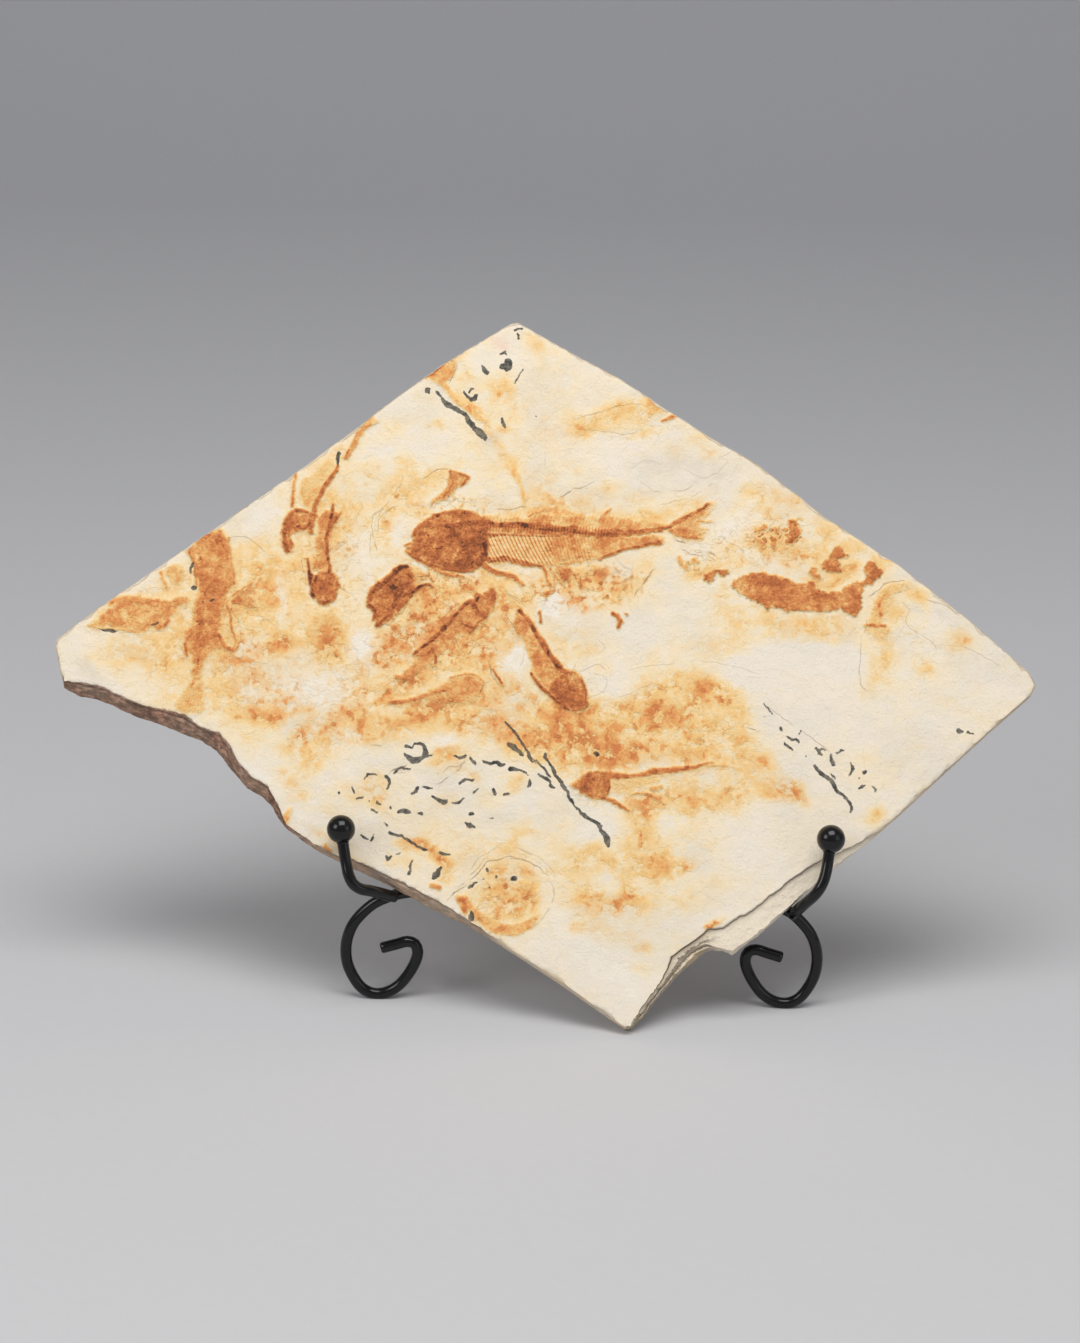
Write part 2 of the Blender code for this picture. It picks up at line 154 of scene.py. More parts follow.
FLARE_AT_LEFT = (
    ((-174.2, 100.6), (-173.6, 101.8)),
    ((-169.3, 98.0), (-167.3, 101.6)),
    ((-165.0, 97.6), (-163.0, 100.8)),
    ((-158.5, 95.2), (-156.5, 97.9)),
    ((-152.0, 92.2), (-149.4, 95.2)),
    ((-143.0, 89.6), (-141.4, 93.6)),
    ((-138.3, 87.5), (-136.6, 92.5)),
    ((-132.4, 85.6), (-131.2, 88.6)),
    ((-127.0, 82.3), (-125.7, 87.2)),
    ((-124.6, 79.4), (-122.4, 83.4)),
    ((-120.8, 75.0), (-119.2, 77.6)),
    ((-117.0, 70.8), (-115.6, 74.0)),
    ((-112.6, 68.6), (-110.4, 70.9)),
    ((-109.1, 65.2), (-108.3, 67.2)),
    ((-107.5, 61.9), (-106.4, 62.8)),
    ((-104.9, 58.8), (-104.4, 59.4)),
    ((-96.5, 53.0), (-96.0, 53.6)),
    ((-89.4, 49.3), (-88.8, 50.0)),
    ((-84.6, 47.2), (-83.6, 49.0)),
    ((-80.0, 45.2), (-79.0, 47.2)),
    ((-73.6, 42.3), (-72.4, 44.2)),
    ((-66.5, 38.8), (-65.4, 40.8)),
    ((-59.4, 35.0), (-58.4, 37.2)),
    ((-50.7, 31.2), (-50.0, 32.4)),
    ((-44.4, 27.9), (-44.0, 28.5)),
)
SAWN_TO_FOOT = ((-39.0, 24.7), (-20.7, 13.3), (-0.9, 0.0))
SLAB_MIDDLE = (-27.0, 105.0)

# A scroll, from its inner end round the foot and over the top, as distance from the stand's
# middle and height.
SCROLL = (
    (61.2, 16.3), (56.6, 17.7), (53.2, 18.7), (50.9, 17.9), (50.0, 15.6), (50.5, 12.6),
    (52.4, 8.6), (55.4, 4.5), (58.9, 2.1), (62.9, FOOT_LEVEL), (66.6, 2.9), (69.3, 6.3),
    (71.3, 10.8), (71.9, 15.7), (71.2, 20.4), (69.1, 25.0), (65.0, 29.6), (61.4, 32.0), (56.6, 33.9),
)
# The upright that follows it behind the slab, as distance from the stand's middle and v.
UPRIGHT = (
    (51.6, 40.8), (43.8, 42.4), (35.4, 46.8), (29.4, 54.6), (25.0, 66.0), (19.0, 83.0),
    (12.6, 102.0), (6.5, 121.0), (2.9, 134.0), (1.95, 142.0),
)
UPRIGHT_W = -8.1                # w of the uprights' middle line, just behind the slab

# Hooks from their weld on the scroll, under the slab's edge and up in front of it, as (u, v, w).
HOOKS = {
    "left": (
        (-70.9, 38.6, -5.4), (-72.9, 38.8, -3.8), (-75.8, 39.2, -1.0), (-78.5, 39.4, 1.8),
        (-81.3, 39.6, 4.0), (-83.5, 40.9, 5.2), (-84.9, 43.4, 5.6), (-85.7, 46.6, 5.6),
        (-86.4, 50.0, 5.9), (-87.3, 55.2, 7.0),
    ),
    "right": (
        (49.4, 36.2, -7.8), (51.0, 37.5, -3.2), (53.0, 39.1, 0.0), (55.1, 40.8, 3.0),
        (56.8, 43.0, 4.7), (58.0, 45.6, 5.2), (58.7, 48.5, 5.5), (59.1, 51.4, 5.9),
        (59.6, 55.6, 7.0),
    ),
}
BALLS = {"left": (-87.6, 57.1, 7.5), "right": (59.8, 57.6, 7.5)}

# The rear leg: up behind the uprights, as (v, w), then down to the floor, as (y, z).
REAR_LEG_ON_UPRIGHTS = (
    (124.0, -11.3), (134.0, -11.3), (141.5, -11.7), (146.4, -13.9), (147.8, -17.8), (145.2, -21.4),
)
REAR_LEG_DOWN = (
    (91.6, 105.0), (99.8, 65.0), (107.6, 26.0), (110.4, 13.0), (113.0, 5.4),
    (117.8, FOOT_LEVEL), (122.4, 2.4), (REAR_LEG_REACH, 5.6),
)

# Bodies and plates of fossil: strength of the rust, softness of the edge, outline (u, v).
PATCHES = (
    # upright fish
    (0.62, 1.0, (
        (-129.6, 151.2), (-126.6, 149.6), (-125.2, 146), (-124.6, 141), (-123.2, 136.5), (-123.6, 132.5),
        (-125.4, 130), (-125, 126.5), (-125.6, 121), (-126.6, 117.5), (-125.2, 113.6), (-127.6, 112.8),
        (-130, 110), (-131.4, 106.8), (-132.2, 103), (-134.6, 103), (-134.8, 106), (-135, 109), (-137, 112),
        (-138.2, 116.5), (-136.4, 120.5), (-135.6, 125), (-134.6, 130), (-134.8, 135), (-136.4, 139.5),
        (-138.2, 144.4), (-134.6, 147),
    )),
    (0.6, 0.4, (
        (-123.8, 128.2), (-121, 130.6), (-117.6, 133.6), (-117.4, 130.4), (-116.2, 126.2), (-120, 127),
        (-123, 126.8),
    )),
    (0.44, 1.1, (
        (-132.4, 106), (-131, 101), (-130.4, 97), (-130.4, 93.2), (-135, 92.6), (-139.8, 94), (-138.2, 98),
        (-135.8, 102.2), (-134.6, 106),
    )),
    (0.34, 1.6, (
        (-125, 136), (-119, 132), (-117, 127), (-121, 122), (-122, 114), (-127, 110), (-128, 118),
        (-126, 128),
    )),
    # level fish
    (0.54, 1.1, (
        (-167.4, 119.4), (-165, 121.4), (-160.4, 125), (-158.2, 127.8), (-152, 128.4), (-144, 128.2),
        (-137, 129), (-136, 127), (-139.6, 125), (-142, 121.6), (-144.6, 118.8), (-148, 118.6), (-151, 117),
        (-156, 118), (-161, 119), (-164.6, 118.8),
    )),
    # round patch
    (0.5, 0.9, (
        (-145.6, 136.4), (-143.4, 138.2), (-141, 139.6), (-138.6, 137.6), (-138.6, 134.6), (-140.4, 132),
        (-142.4, 132.6), (-143.6, 134.6),
    )),
    # curled fish
    (0.74, 0.5, (
        (-104.6, 157.4), (-107.4, 156), (-109.2, 152.6), (-109, 148), (-108, 144.2), (-106.2, 143.4),
        (-105.2, 145.6), (-106.2, 148.2), (-104.6, 149.8), (-102, 150.6), (-99.6, 149.4), (-99.4, 152.4),
        (-98.6, 155.6), (-101.4, 156.8),
    )),
    (0.42, 1.1, (
        (-98.8, 156.6), (-101.8, 158), (-104.2, 162), (-104, 166), (-100, 168.6), (-97.6, 172), (-94, 173.4),
        (-92.6, 170), (-95, 165.6), (-97.4, 161),
    )),
    (0.5, 0.5, (
        (-90.8, 173.4), (-88.4, 178.2), (-86.4, 182), (-85.2, 185.6), (-83.8, 187.6), (-82.2, 187),
        (-80.2, 186), (-82.2, 184.2), (-84.8, 181.8), (-87, 177.6), (-89.6, 172.8),
    )),
    # hanging fish
    (0.78, 0.4, (
        (-99.4, 132), (-98.8, 135.4), (-97, 137.6), (-94.2, 138), (-91.6, 136.2), (-90.8, 132.4),
        (-91.8, 129.2), (-94.2, 127.2), (-96.8, 127.6), (-98.8, 129.6),
    )),
    (0.56, 0.7, (
        (-99, 138), (-98.6, 143), (-99.4, 147), (-98.2, 151), (-98.6, 154.6), (-95.8, 157), (-92.4, 157),
        (-91, 155.4), (-92.6, 153), (-93.8, 149.6), (-94.6, 144), (-93.2, 138),
    )),
    # short fish
    (0.86, 0.5, (
        (-82.9, 129), (-82, 132.2), (-79, 134), (-76.2, 136.6), (-72.8, 140), (-70, 139.6), (-67.6, 137.4),
        (-68.6, 134.6), (-67.4, 132.8), (-68.6, 130.6), (-71, 126.8), (-73.8, 123.2), (-77, 121.4),
        (-79.4, 120.8), (-80.6, 124.4), (-82.4, 126.4),
    )),
    (0.52, 0.8, ((-70.4, 140.2), (-66.6, 139.8), (-63.8, 137.4), (-66.4, 135.2), (-69, 134.4))),
    # slanting fish
    (0.8, 0.5, (
        (-51, 129.6), (-49.4, 131.8), (-46.8, 131.4), (-44.6, 134), (-42.6, 132.4), (-42.8, 129),
        (-44.2, 126.2), (-46.4, 123.6), (-48.6, 125), (-50.6, 127.2),
    )),
    (0.58, 0.9, (
        (-51, 130), (-55, 127), (-59, 121.6), (-63.6, 117), (-67.6, 113), (-65, 110.8), (-61.4, 110.6),
        (-58.6, 114.4), (-54, 118.4), (-50.4, 120.6), (-46.4, 122.6), (-46, 127),
    )),
    (0.5, 0.7, (
        (-65.6, 112), (-68, 109.4), (-72.8, 106), (-73.4, 104.8), (-69.4, 104.8), (-68.4, 104), (-66.4, 107),
        (-63.6, 110),
    )),
    (0.56, 0.9, ((-58.6, 117.6), (-62, 117), (-67, 113.6), (-66.6, 110.8), (-61, 108.6), (-60, 112))),
    # faint fish
    (0.52, 1.1, (
        (-74.6, 98.4), (-69, 99), (-63, 101.4), (-57.6, 104.6), (-52, 106.8), (-47, 106), (-45.8, 104.4),
        (-47, 100.4), (-51, 98), (-57, 97), (-62, 98), (-68, 97), (-74.4, 96.8),
    )),
    # diving fish
    (0.6, 0.6, (
        (-36.2, 127.8), (-33.4, 126), (-30.6, 122.2), (-27.6, 117.6), (-24.4, 112.4), (-21.2, 108.4),
        (-22.6, 106.6), (-25.6, 105.6), (-29.6, 106.8), (-31.6, 110.6), (-33.4, 115), (-35.8, 119),
        (-37.2, 122.4),
    )),
    (0.78, 0.4, (
        (-26.6, 102.6), (-25.4, 105.4), (-22.4, 107.6), (-19.4, 108.4), (-16.4, 107), (-15, 104),
        (-14.4, 100.4), (-13.6, 98.4), (-15.6, 96.6), (-19.4, 96.2), (-22.6, 98.6), (-25, 100.6),
    )),
    (0.46, 0.8, (
        (-31.6, 108.2), (-29.6, 105.2), (-26.4, 102.2), (-23.6, 100.4), (-21.6, 105.6), (-25.4, 108.4),
        (-29.6, 110),
    )),
    # blunt fish
    (0.74, 0.25, (
        (28.6, 136.6), (30, 138.2), (33, 139.6), (36, 140.6), (40.6, 140.6), (44, 139.6), (47, 138.8),
        (50, 137.4), (53, 138.2), (55, 137.4), (57, 135.4), (60, 134.8), (62.6, 136), (65.6, 138),
        (68, 138.8), (69.6, 137), (69.4, 134), (68.6, 131), (67.8, 128), (66.6, 127.4), (65.4, 129),
        (63, 129.4), (60.4, 129), (57.6, 128.4), (54, 128.6), (50.8, 129), (48.6, 128.6), (46.6, 128.2),
        (43.6, 129), (41.4, 130.4), (40.4, 128.6), (39.4, 130), (36.4, 131), (34, 132.8), (31.4, 133.8),
        (30.2, 135.2),
    )),
    (0.78, 0.25, (
        (69.6, 140), (69.8, 143.6), (71.4, 145.2), (72.8, 144.8), (73.4, 143.4), (75, 142.4), (74.6, 140.6),
        (72.8, 139.8), (72, 137.6), (70.4, 137.4), (68.6, 136.4), (68.4, 138.6),
    )),
    # torn piece
    (0.72, 0.25, (
        (55.6, 143.4), (57.4, 145.4), (59.4, 147), (61, 149.2), (62.6, 149.2), (63.4, 147.8), (65.4, 147.4),
        (64.6, 146.2), (62.4, 145.6), (62.2, 143.2), (63.6, 141), (61.4, 141.2), (58.6, 141.2), (56.4, 142),
    )),
    # small torn piece
    (0.7, 0.25, (
        (52.2, 141.2), (53.4, 142.6), (54.6, 142.4), (55.4, 140.6), (56.8, 139.6), (56.2, 138), (54.8, 138.6),
        (53.6, 139.6),
    )),
    # hooked piece
    (0.84, 0.25, (
        (20.4, 137.6), (20.6, 139.6), (22, 140.2), (23.4, 141.2), (25, 141.6), (27.2, 141.4), (27.8, 140),
        (26.8, 139), (25.4, 139.4), (24, 140), (23.2, 138.8), (23, 137.2), (21.8, 136.8),
    )),
    # bent fish
    (0.42, 1.2, (
        (70, 124.8), (71.6, 126.6), (71.8, 130), (73.4, 134), (76, 137), (80, 139), (84, 138.6), (80, 136),
        (77, 133), (76.4, 129.4), (76, 126), (77.6, 123.4), (76, 121.6), (72, 121.8), (70.4, 123),
    )),
    # lowest fish
    (0.8, 0.6, (
        (-18.6, 73.6), (-16.8, 75.6), (-14, 77.4), (-11, 78), (-8, 77.4), (-7, 75.6), (-6.8, 73), (-7.6, 70),
        (-9.4, 69), (-13, 69.8), (-16.6, 71.6),
    )),
    (0.32, 1.3, ((-7, 76.4), (0, 77), (6, 78), (12, 78.6), (8, 75), (3, 72.6), (-2, 71), (-7, 70.6))),
    # high fish
    (0.24, 1.6, (
        (-20.6, 183), (-18, 187.6), (-14, 190.4), (-8, 192.6), (0, 194), (5, 194.2), (9, 191.6), (4, 188),
        (1, 184.8), (-5, 183.4), (-12, 183), (-16, 184),
    )),
    (0.42, 0.6, ((0.4, 193.4), (4.6, 194.6), (10, 191), (5.4, 190), (3, 188.4), (1.6, 190))),
    # corner patch
    (0.5, 1.0, (
        (-68.4, 200.2), (-62, 204.6), (-58.4, 206.6), (-57, 204), (-57.6, 201), (-60, 198.6), (-60.6, 196),
        (-62.6, 198), (-64.6, 198.4),
    )),
    # small fin
    (0.62, 0.5, (
        (-58.4, 170), (-55, 169.8), (-52, 168.4), (-54, 166.2), (-56.6, 164), (-59, 161.6), (-63.6, 159.8),
        (-61, 163), (-58.8, 166),
    )),
    # large fish
    (0.78, 0.6, (
        (-71, 146.4), (-69.4, 147.6), (-68, 150.2), (-66.2, 152.8), (-63.6, 155.4), (-60.6, 157.2),
        (-56, 157.8), (-52, 158.4), (-49.6, 156.8), (-47, 155.8), (-46, 152), (-45.4, 147), (-45.8, 143),
        (-48, 140.4), (-52, 138.8), (-56, 138.6), (-60, 139.8), (-64.4, 141.2), (-68, 143), (-71, 145),
    )),
    (0.54, 0.9, (
        (-47, 156), (-42, 156.6), (-36, 156.4), (-30, 157.2), (-22, 157), (-14, 157.4), (-8, 157), (0, 156.4),
        (6, 155.6), (10.4, 155), (10.4, 153.4), (5, 152.6), (0, 151.8), (-10, 150.4), (-20, 150), (-46, 150),
    )),
    (0.46, 0.7, ((-46, 151), (-34, 151), (-24, 150.6), (-24, 141.4), (-30, 141), (-38, 141.6), (-45, 141.4))),
    (0.62, 2.2, (
        (9.6, 154), (11.4, 156), (15, 158), (19, 160.2), (23.4, 162.4), (21.6, 158.6), (19, 155.6),
        (20.4, 152), (19, 150.4), (15, 150.6), (11.6, 151.4),
    )),
    (0.9, 0.9, (
        (-57, 153.4), (-52, 155.4), (-47, 155), (-45.8, 151), (-45.4, 147), (-45.8, 143), (-48, 140.6),
        (-52, 139.2), (-56, 139.4), (-61, 141), (-63.6, 144.4), (-60, 149),
    )),
    (0.8, 0.8, (
        (-47, 155.2), (-38, 155), (-30, 154.8), (-20, 154), (-10, 153.4), (0, 153.4), (8, 154), (8, 152.6),
        (0, 151.4), (-8, 150.2), (-20, 150.2), (-32, 150.6), (-47, 151.6),
    )),
    (0.6, 0.9, (
        (-29, 150.6), (-20, 150.6), (-8, 150.8), (4, 151.4), (8.4, 150.4), (6.8, 148.8), (0, 147.8),
        (-6, 145.6), (-10.6, 143.8), (-16, 142.2), (-22, 141.4), (-28, 141.2),
    )),
    (0.7, 1.1, ((-25.4, 141.4), (-20.6, 141), (-20, 138.4), (-21.6, 136.6), (-23.4, 136.6), (-25, 138.6))),
    # round stain
    (0.36, 2.0, (
        (-101.6, 120.6), (-98, 124.6), (-91, 124.4), (-87.6, 119), (-89.6, 113), (-93, 107.6), (-96.4, 111.6),
        (-101.4, 114.6),
    )),
)
# Bones: strength of the rust, route as (u, v, half width).
BONES = (
    # large fish
    (0.66, ((12, 155, 0.5), (16.4, 157, 0.4), (22, 159, 0.15))),
    (0.62, ((12.4, 154.4, 0.5), (17, 155.6, 0.35), (22.6, 156.6, 0.12))),
    (0.6, ((12.6, 153.6, 0.5), (17, 153.8, 0.3), (21.6, 153.6, 0.12))),
    (0.66, ((-22, 141.4, 0.5), (-18.6, 137.6, 0.4), (-15, 134.2, 0.2))),
    (0.86, ((-68.6, 149.6, 0.7), (-66.4, 152.8, 0.8), (-62.4, 156, 0.7))),
    (0.74, ((-64, 140.6, 0.7), (-58.6, 137.8, 0.6), (-53, 137.2, 0.4))),
    (0.9, ((-61.6, 156, 0.8), (-57, 157.2, 0.9), (-53, 157.4, 0.9), (-50, 156, 0.8))),
    (1.0, ((-58.4, 152.6, 0.8), (-54, 153.4, 1.1), (-50, 153.8, 1.2), (-46.6, 153.6, 1.2))),
    (1.0, ((-47.6, 151.4, 1.2), (-46.6, 147, 1.1), (-47.4, 143, 1.4), (-49.8, 140.8, 1.3))),
    (0.98, ((-54.4, 150.4, 0.5), (-53.4, 146.6, 0.7), (-55, 143, 0.6))),
    (0.94, ((-64, 149.8, 0.5), (-62.6, 146, 0.5), (-60.4, 145.6, 0.5), (-59.4, 148, 0.5), (-61, 150.6, 0.5))),
    (0.9, ((-71, 144.8, 0.4), (-67, 142.4, 0.6), (-62, 140.2, 0.7), (-56, 139, 0.6), (-50, 139.4, 0.6))),
    (0.96, ((-71.4, 146.4, 0.3), (-69.6, 147, 0.4), (-67.6, 147, 0.4))),
    (0.98, (
        (-46.6, 153.8, 1.3), (-41, 153.5, 1.1), (-34, 153.5, 1.2), (-27, 152.9, 1.1), (-19.6, 152.1, 1),
        (-12, 151.6, 0.8), (-3.4, 151.6, 0.4),
    )),
    (0.92, ((-46, 150.4, 0.5), (-38.6, 150.4, 0.4), (-31, 150.5, 0.3), (-24, 150.4, 0.3))),
    (0.94, ((0, 152.8, 0.5), (5, 153.4, 0.5), (10, 154.2, 0.7))),
    (0.86, ((-45.4, 142.4, 0.9), (-41, 142.9, 1.1), (-37, 142.3, 1), (-33, 141.5, 0.7), (-28.8, 140.9, 0.4))),
    (0.82, ((-11.4, 143.6, 0.5), (-7, 145.6, 0.5), (-2, 147.4, 0.5), (2.6, 148.4, 0.6), (6.8, 149.2, 0.7))),
    (0.84, ((10, 154.4, 0.7), (13.6, 156.8, 0.8), (17.6, 158.8, 0.7), (21.6, 161.4, 0.4))),
    (0.72, ((10.4, 153, 0.8), (13.4, 151.8, 0.8), (16.6, 151.4, 0.6), (19.6, 150.8, 0.3))),
    (0.84, ((-47, 140.8, 1), (-43.4, 138.8, 0.7), (-38.6, 137.8, 0.8), (-34.8, 135, 0.4))),
    (0.76, ((-28.8, 140.6, 0.5), (-27.7, 137.6, 0.5), (-26.4, 134.8, 0.3))),
    (0.66, ((-26.6, 140.4, 0.4), (-24.4, 137, 0.4), (-22.8, 135.2, 0.2))),
    (0.7, ((-11.2, 157, 0.3), (-9.8, 158, 0.5), (-8.7, 159.4, 0.3))),
    (0.7, ((-33.4, 156.6, 0.4), (-31.8, 157.8, 0.4), (-29.2, 158.2, 0.3))),
    # grain
    (0.7, ((47.2, 150.6, 1.1), (48.4, 153.4, 1.9), (47.2, 156.6, 1.2))),
    (0.62, ((37.4, 150.6, 0.9), (38.2, 149.4, 0.9))),
    (0.64, ((41.4, 149.6, 1), (42.4, 150.8, 0.8))),
    (0.62, ((42.8, 153, 0.7), (42.2, 154.4, 0.9))),
    (0.6, ((38.8, 154.8, 0.9), (37.4, 153.8, 0.8))),
    # upright fish
    (0.7, (
        (-133.8, 141, 0.9), (-132.8, 135, 1.3), (-132.4, 129, 1.5), (-132.9, 122, 1.6), (-133.3, 115, 1.4),
        (-133.1, 109.5, 0.9), (-133.3, 105.5, 0.6), (-135.2, 100.5, 0.4),
    )),
    (0.68, ((-134, 147, 1.1), (-131, 148.6, 1.6), (-128, 146.6, 1.8), (-127.6, 143.2, 1.6))),
    (0.66, ((-125.3, 147.6, 0.4), (-124.8, 142.6, 0.5), (-123.6, 137, 0.5), (-123.3, 133.2, 0.4))),
    (0.72, ((-137.6, 143.8, 0.4), (-136, 140.4, 0.5), (-134.8, 136.6, 0.5), (-134.6, 132, 0.4))),
    (0.72, ((-123.4, 129.6, 0.4), (-120.8, 131.6, 0.4), (-117.6, 133.6, 0.3))),
    (0.72, ((-123.4, 127.4, 0.5), (-120, 126.8, 0.4), (-116.3, 126, 0.3))),
    (0.66, (
        (-125.2, 127.4, 0.4), (-124, 123.4, 0.4), (-122.9, 118.6, 0.4), (-122.2, 114.8, 0.3),
        (-123.4, 111.8, 0.4),
    )),
    (0.74, ((-127, 117.6, 0.7), (-125.8, 113.8, 0.9), (-122.8, 112.2, 0.5), (-121.4, 114, 0.3))),
    (0.7, ((-135.6, 117.6, 0.7), (-137.4, 114.6, 0.6), (-136.6, 110.4, 0.3))),
    # level fish
    (0.58, (
        (-160.4, 125.8, 0.8), (-157.6, 127.6, 1.2), (-150, 127.2, 1.4), (-143, 126.4, 1.3), (-137, 127.6, 1),
    )),
    (0.66, ((-147.2, 119.8, 0.5), (-144.8, 119.2, 1), (-142.4, 121.4, 0.8))),
    (0.5, ((-166.8, 119.2, 0.5), (-163, 118.6, 0.4), (-156, 118.2, 0.5), (-151.4, 117.2, 0.3))),
    # round patch
    (0.55, ((-145.8, 136, 0.6), (-144.8, 133.6, 0.6), (-143.6, 131.4, 0.4))),
    # curled fish
    (0.92, (
        (-106.9, 143.8, 0.7), (-107.9, 147, 1), (-108.3, 150.6, 1), (-107.2, 154.2, 1), (-104.8, 156.6, 0.8),
        (-101.4, 156.2, 0.6),
    )),
    (1.0, ((-104.4, 151.8, 0.7), (-102.2, 151.2, 0.9), (-100.4, 152.6, 0.8), (-100.6, 154.6, 0.5))),
    (0.62, ((-106.4, 158, 0.5), (-105.9, 162.6, 0.5), (-105.6, 168, 0.5))),
    (0.84, (
        (-99.4, 156.8, 0.8), (-98.4, 160.6, 0.8), (-95.8, 165.2, 0.8), (-93, 169.4, 0.6), (-92.3, 171.4, 0.4),
    )),
    (0.7, ((-90.4, 173.6, 0.4), (-88.2, 178, 0.5), (-86, 181.8, 0.5), (-82.6, 184.4, 0.5))),
    # hanging fish
    (1.0, (
        (-93.9, 137.4, 0.6), (-94.8, 142.8, 0.5), (-95.2, 148, 0.6), (-94.5, 152.6, 0.6), (-93.9, 156, 0.6),
        (-93.6, 159, 0.3),
    )),
    (1.0, ((-98.4, 130, 0.6), (-99, 133, 0.6), (-97.8, 136.2, 0.6))),
    (0.98, ((-96.8, 128, 0.7), (-94.2, 128, 0.7), (-92.2, 130.6, 0.5))),
    (0.78, ((-94.2, 151.6, 0.7), (-92.6, 154.6, 0.9), (-91.2, 156.4, 0.4))),
    # dark thorn
    (1.25, ((-100.9, 141.4, 0.25), (-100.3, 138.2, 0.35), (-99.9, 135.8, 0.75), (-99.8, 133.8, 0.35))),
    # short fish
    (1.15, (
        (-81, 131.4, 0.8), (-78.4, 133.8, 1.2), (-75.4, 136.2, 1), (-72.6, 139.2, 1.2), (-70.6, 139.8, 0.7),
    )),
    (1.1, ((-74.8, 134.2, 1.4), (-73.2, 131.2, 1.4), (-74, 127.2, 1))),
    (1.1, ((-79.2, 121.2, 0.5), (-77.4, 122.6, 0.6), (-75.4, 124.6, 0.5))),
    (1.0, ((-82, 127.4, 0.6), (-80, 126, 0.7), (-80.2, 123, 0.5))),
    (1.12, (
        (-71.4, 130.4, 0.5), (-69, 131.6, 0.6), (-67, 133.2, 0.5), (-64.6, 134.4, 0.45), (-62.2, 134, 0.3),
    )),
    # slanting fish
    (0.98, (
        (-50.6, 129.8, 0.6), (-54.6, 125.6, 0.6), (-58.6, 120.6, 0.8), (-63.2, 116.4, 0.7),
        (-67.6, 112.6, 0.4),
    )),
    (1.02, ((-48.4, 126.4, 0.8), (-49.8, 129, 0.8), (-48, 131, 0.6))),
    (0.98, ((-46, 124.8, 0.5), (-48.4, 122.6, 0.4), (-50.6, 120, 0.4))),
    (0.9, ((-52.6, 122.6, 0.4), (-50.8, 121.6, 0.4), (-48.4, 122, 0.3))),
    (0.95, ((-62.2, 115, 0.6), (-61.2, 112.4, 0.5), (-60.9, 110, 0.4))),
    (0.88, ((-66.6, 112.2, 0.4), (-63.8, 112.6, 0.8), (-62.2, 114.4, 0.6))),
    (0.7, ((-72.4, 105.6, 0.8), (-69.6, 105.2, 0.8), (-66.8, 107.6, 0.4))),
    # faint fish
    (0.66, ((-56, 105.4, 0.3), (-51.6, 106.8, 0.4), (-47.4, 106, 0.4), (-46, 104, 0.4), (-47.4, 100.6, 0.3))),
    (0.66, ((-74.4, 97.4, 0.7), (-68.6, 98.4, 0.8), (-62, 100.2, 0.7), (-55, 102.8, 0.6))),
    # long hair
    (0.9, ((-43.6, 108.6, 0.25), (-41.6, 105.6, 0.35), (-40.2, 103.4, 0.3))),
    # diving fish
    (0.96, (
        (-35.6, 127, 0.5), (-32, 122.6, 0.8), (-28.8, 117.8, 1), (-25.6, 112.8, 1), (-22.2, 108.6, 0.8),
        (-19.6, 107.6, 0.5),
    )),
    (1.08, ((-31.4, 107.4, 0.3), (-29.6, 105, 0.5), (-26.4, 102, 0.5), (-23.2, 99, 0.6), (-19.8, 96.8, 0.5))),
    (0.96, ((-16.4, 105.8, 0.5), (-15, 102.4, 0.5), (-14.2, 98.8, 0.4))),
    (1.0, ((-29.2, 126.6, 0.3), (-29, 123.6, 0.35))),
    # loose spot
    (0.74, ((-27.6, 132.6, 1.1), (-27.5, 132.2, 1.1))),
    # small piece
    (0.58, ((12.8, 144.6, 0.6), (13.6, 142.6, 0.7), (15, 141.2, 0.6))),
    # smaller piece
    (0.54, ((17, 144.2, 0.7), (18.4, 143.6, 0.7))),
    # rust crumbs
    (0.95, ((-7.2, 127.2, 0.5), (-5.6, 126.4, 0.7), (-4.6, 124.4, 0.6), (-5.2, 122.6, 0.4))),
    # rust crumb
    (0.9, ((-2.9, 127, 0.35), (-2.6, 126.8, 0.35))),
    # stalk
    (0.42, ((-38.4, 170.4, 1.2), (-36.4, 167, 0.9), (-35.5, 163.6, 0.7), (-35.2, 159.4, 0.5))),
    # small fin
    (0.84, ((-58.2, 169.8, 0.4), (-57.4, 166, 0.5), (-60, 162, 0.4))),
    (0.84, ((-58, 170, 0.4), (-54.8, 169.4, 0.5), (-52.2, 168.2, 0.6), (-54.4, 165.6, 0.4))),
    # corner rust
    (0.9, ((-67, 200.2, 0.9), (-64.8, 201, 1.1), (-62.4, 203, 0.8), (-61, 204.4, 0.5))),
    # corner streak
    (0.44, ((-61, 198.4, 1), (-58.6, 194.6, 0.9), (-54, 191, 1.1), (-50.6, 188.4, 1.3), (-48.4, 186.4, 0.6))),
    # high fish
    (0.74, ((6.8, 187.8, 0.3), (9.2, 188.5, 0.6), (12.2, 189.8, 0.3))),
    # lowest fish
    (0.84, (
        (-8, 76.8, 1.1), (-4, 76.5, 0.9), (0, 76.8, 0.8), (5, 77.8, 1), (10, 78.6, 0.9), (15, 79.2, 0.6),
        (20, 80.2, 0.4), (24.6, 81.8, 0.3),
    )),
    (0.5, ((19, 80, 0.4), (26, 80.5, 0.4), (31, 79.8, 0.2))),
    (0.94, ((-7.4, 75.6, 0.5), (-6.9, 73.2, 0.5), (-7.6, 71, 0.4))),
    (0.88, ((-9.4, 69.6, 0.5), (-6.2, 69, 0.5), (-3.6, 67.6, 0.5), (-1.4, 66.2, 0.3))),
    (0.68, ((0, 71.4, 0.25), (4.6, 71.2, 0.3), (7, 70.2, 0.3), (9.6, 68.2, 0.25))),
    (0.6, ((5.6, 73, 0.6), (8.8, 73.2, 0.6))),
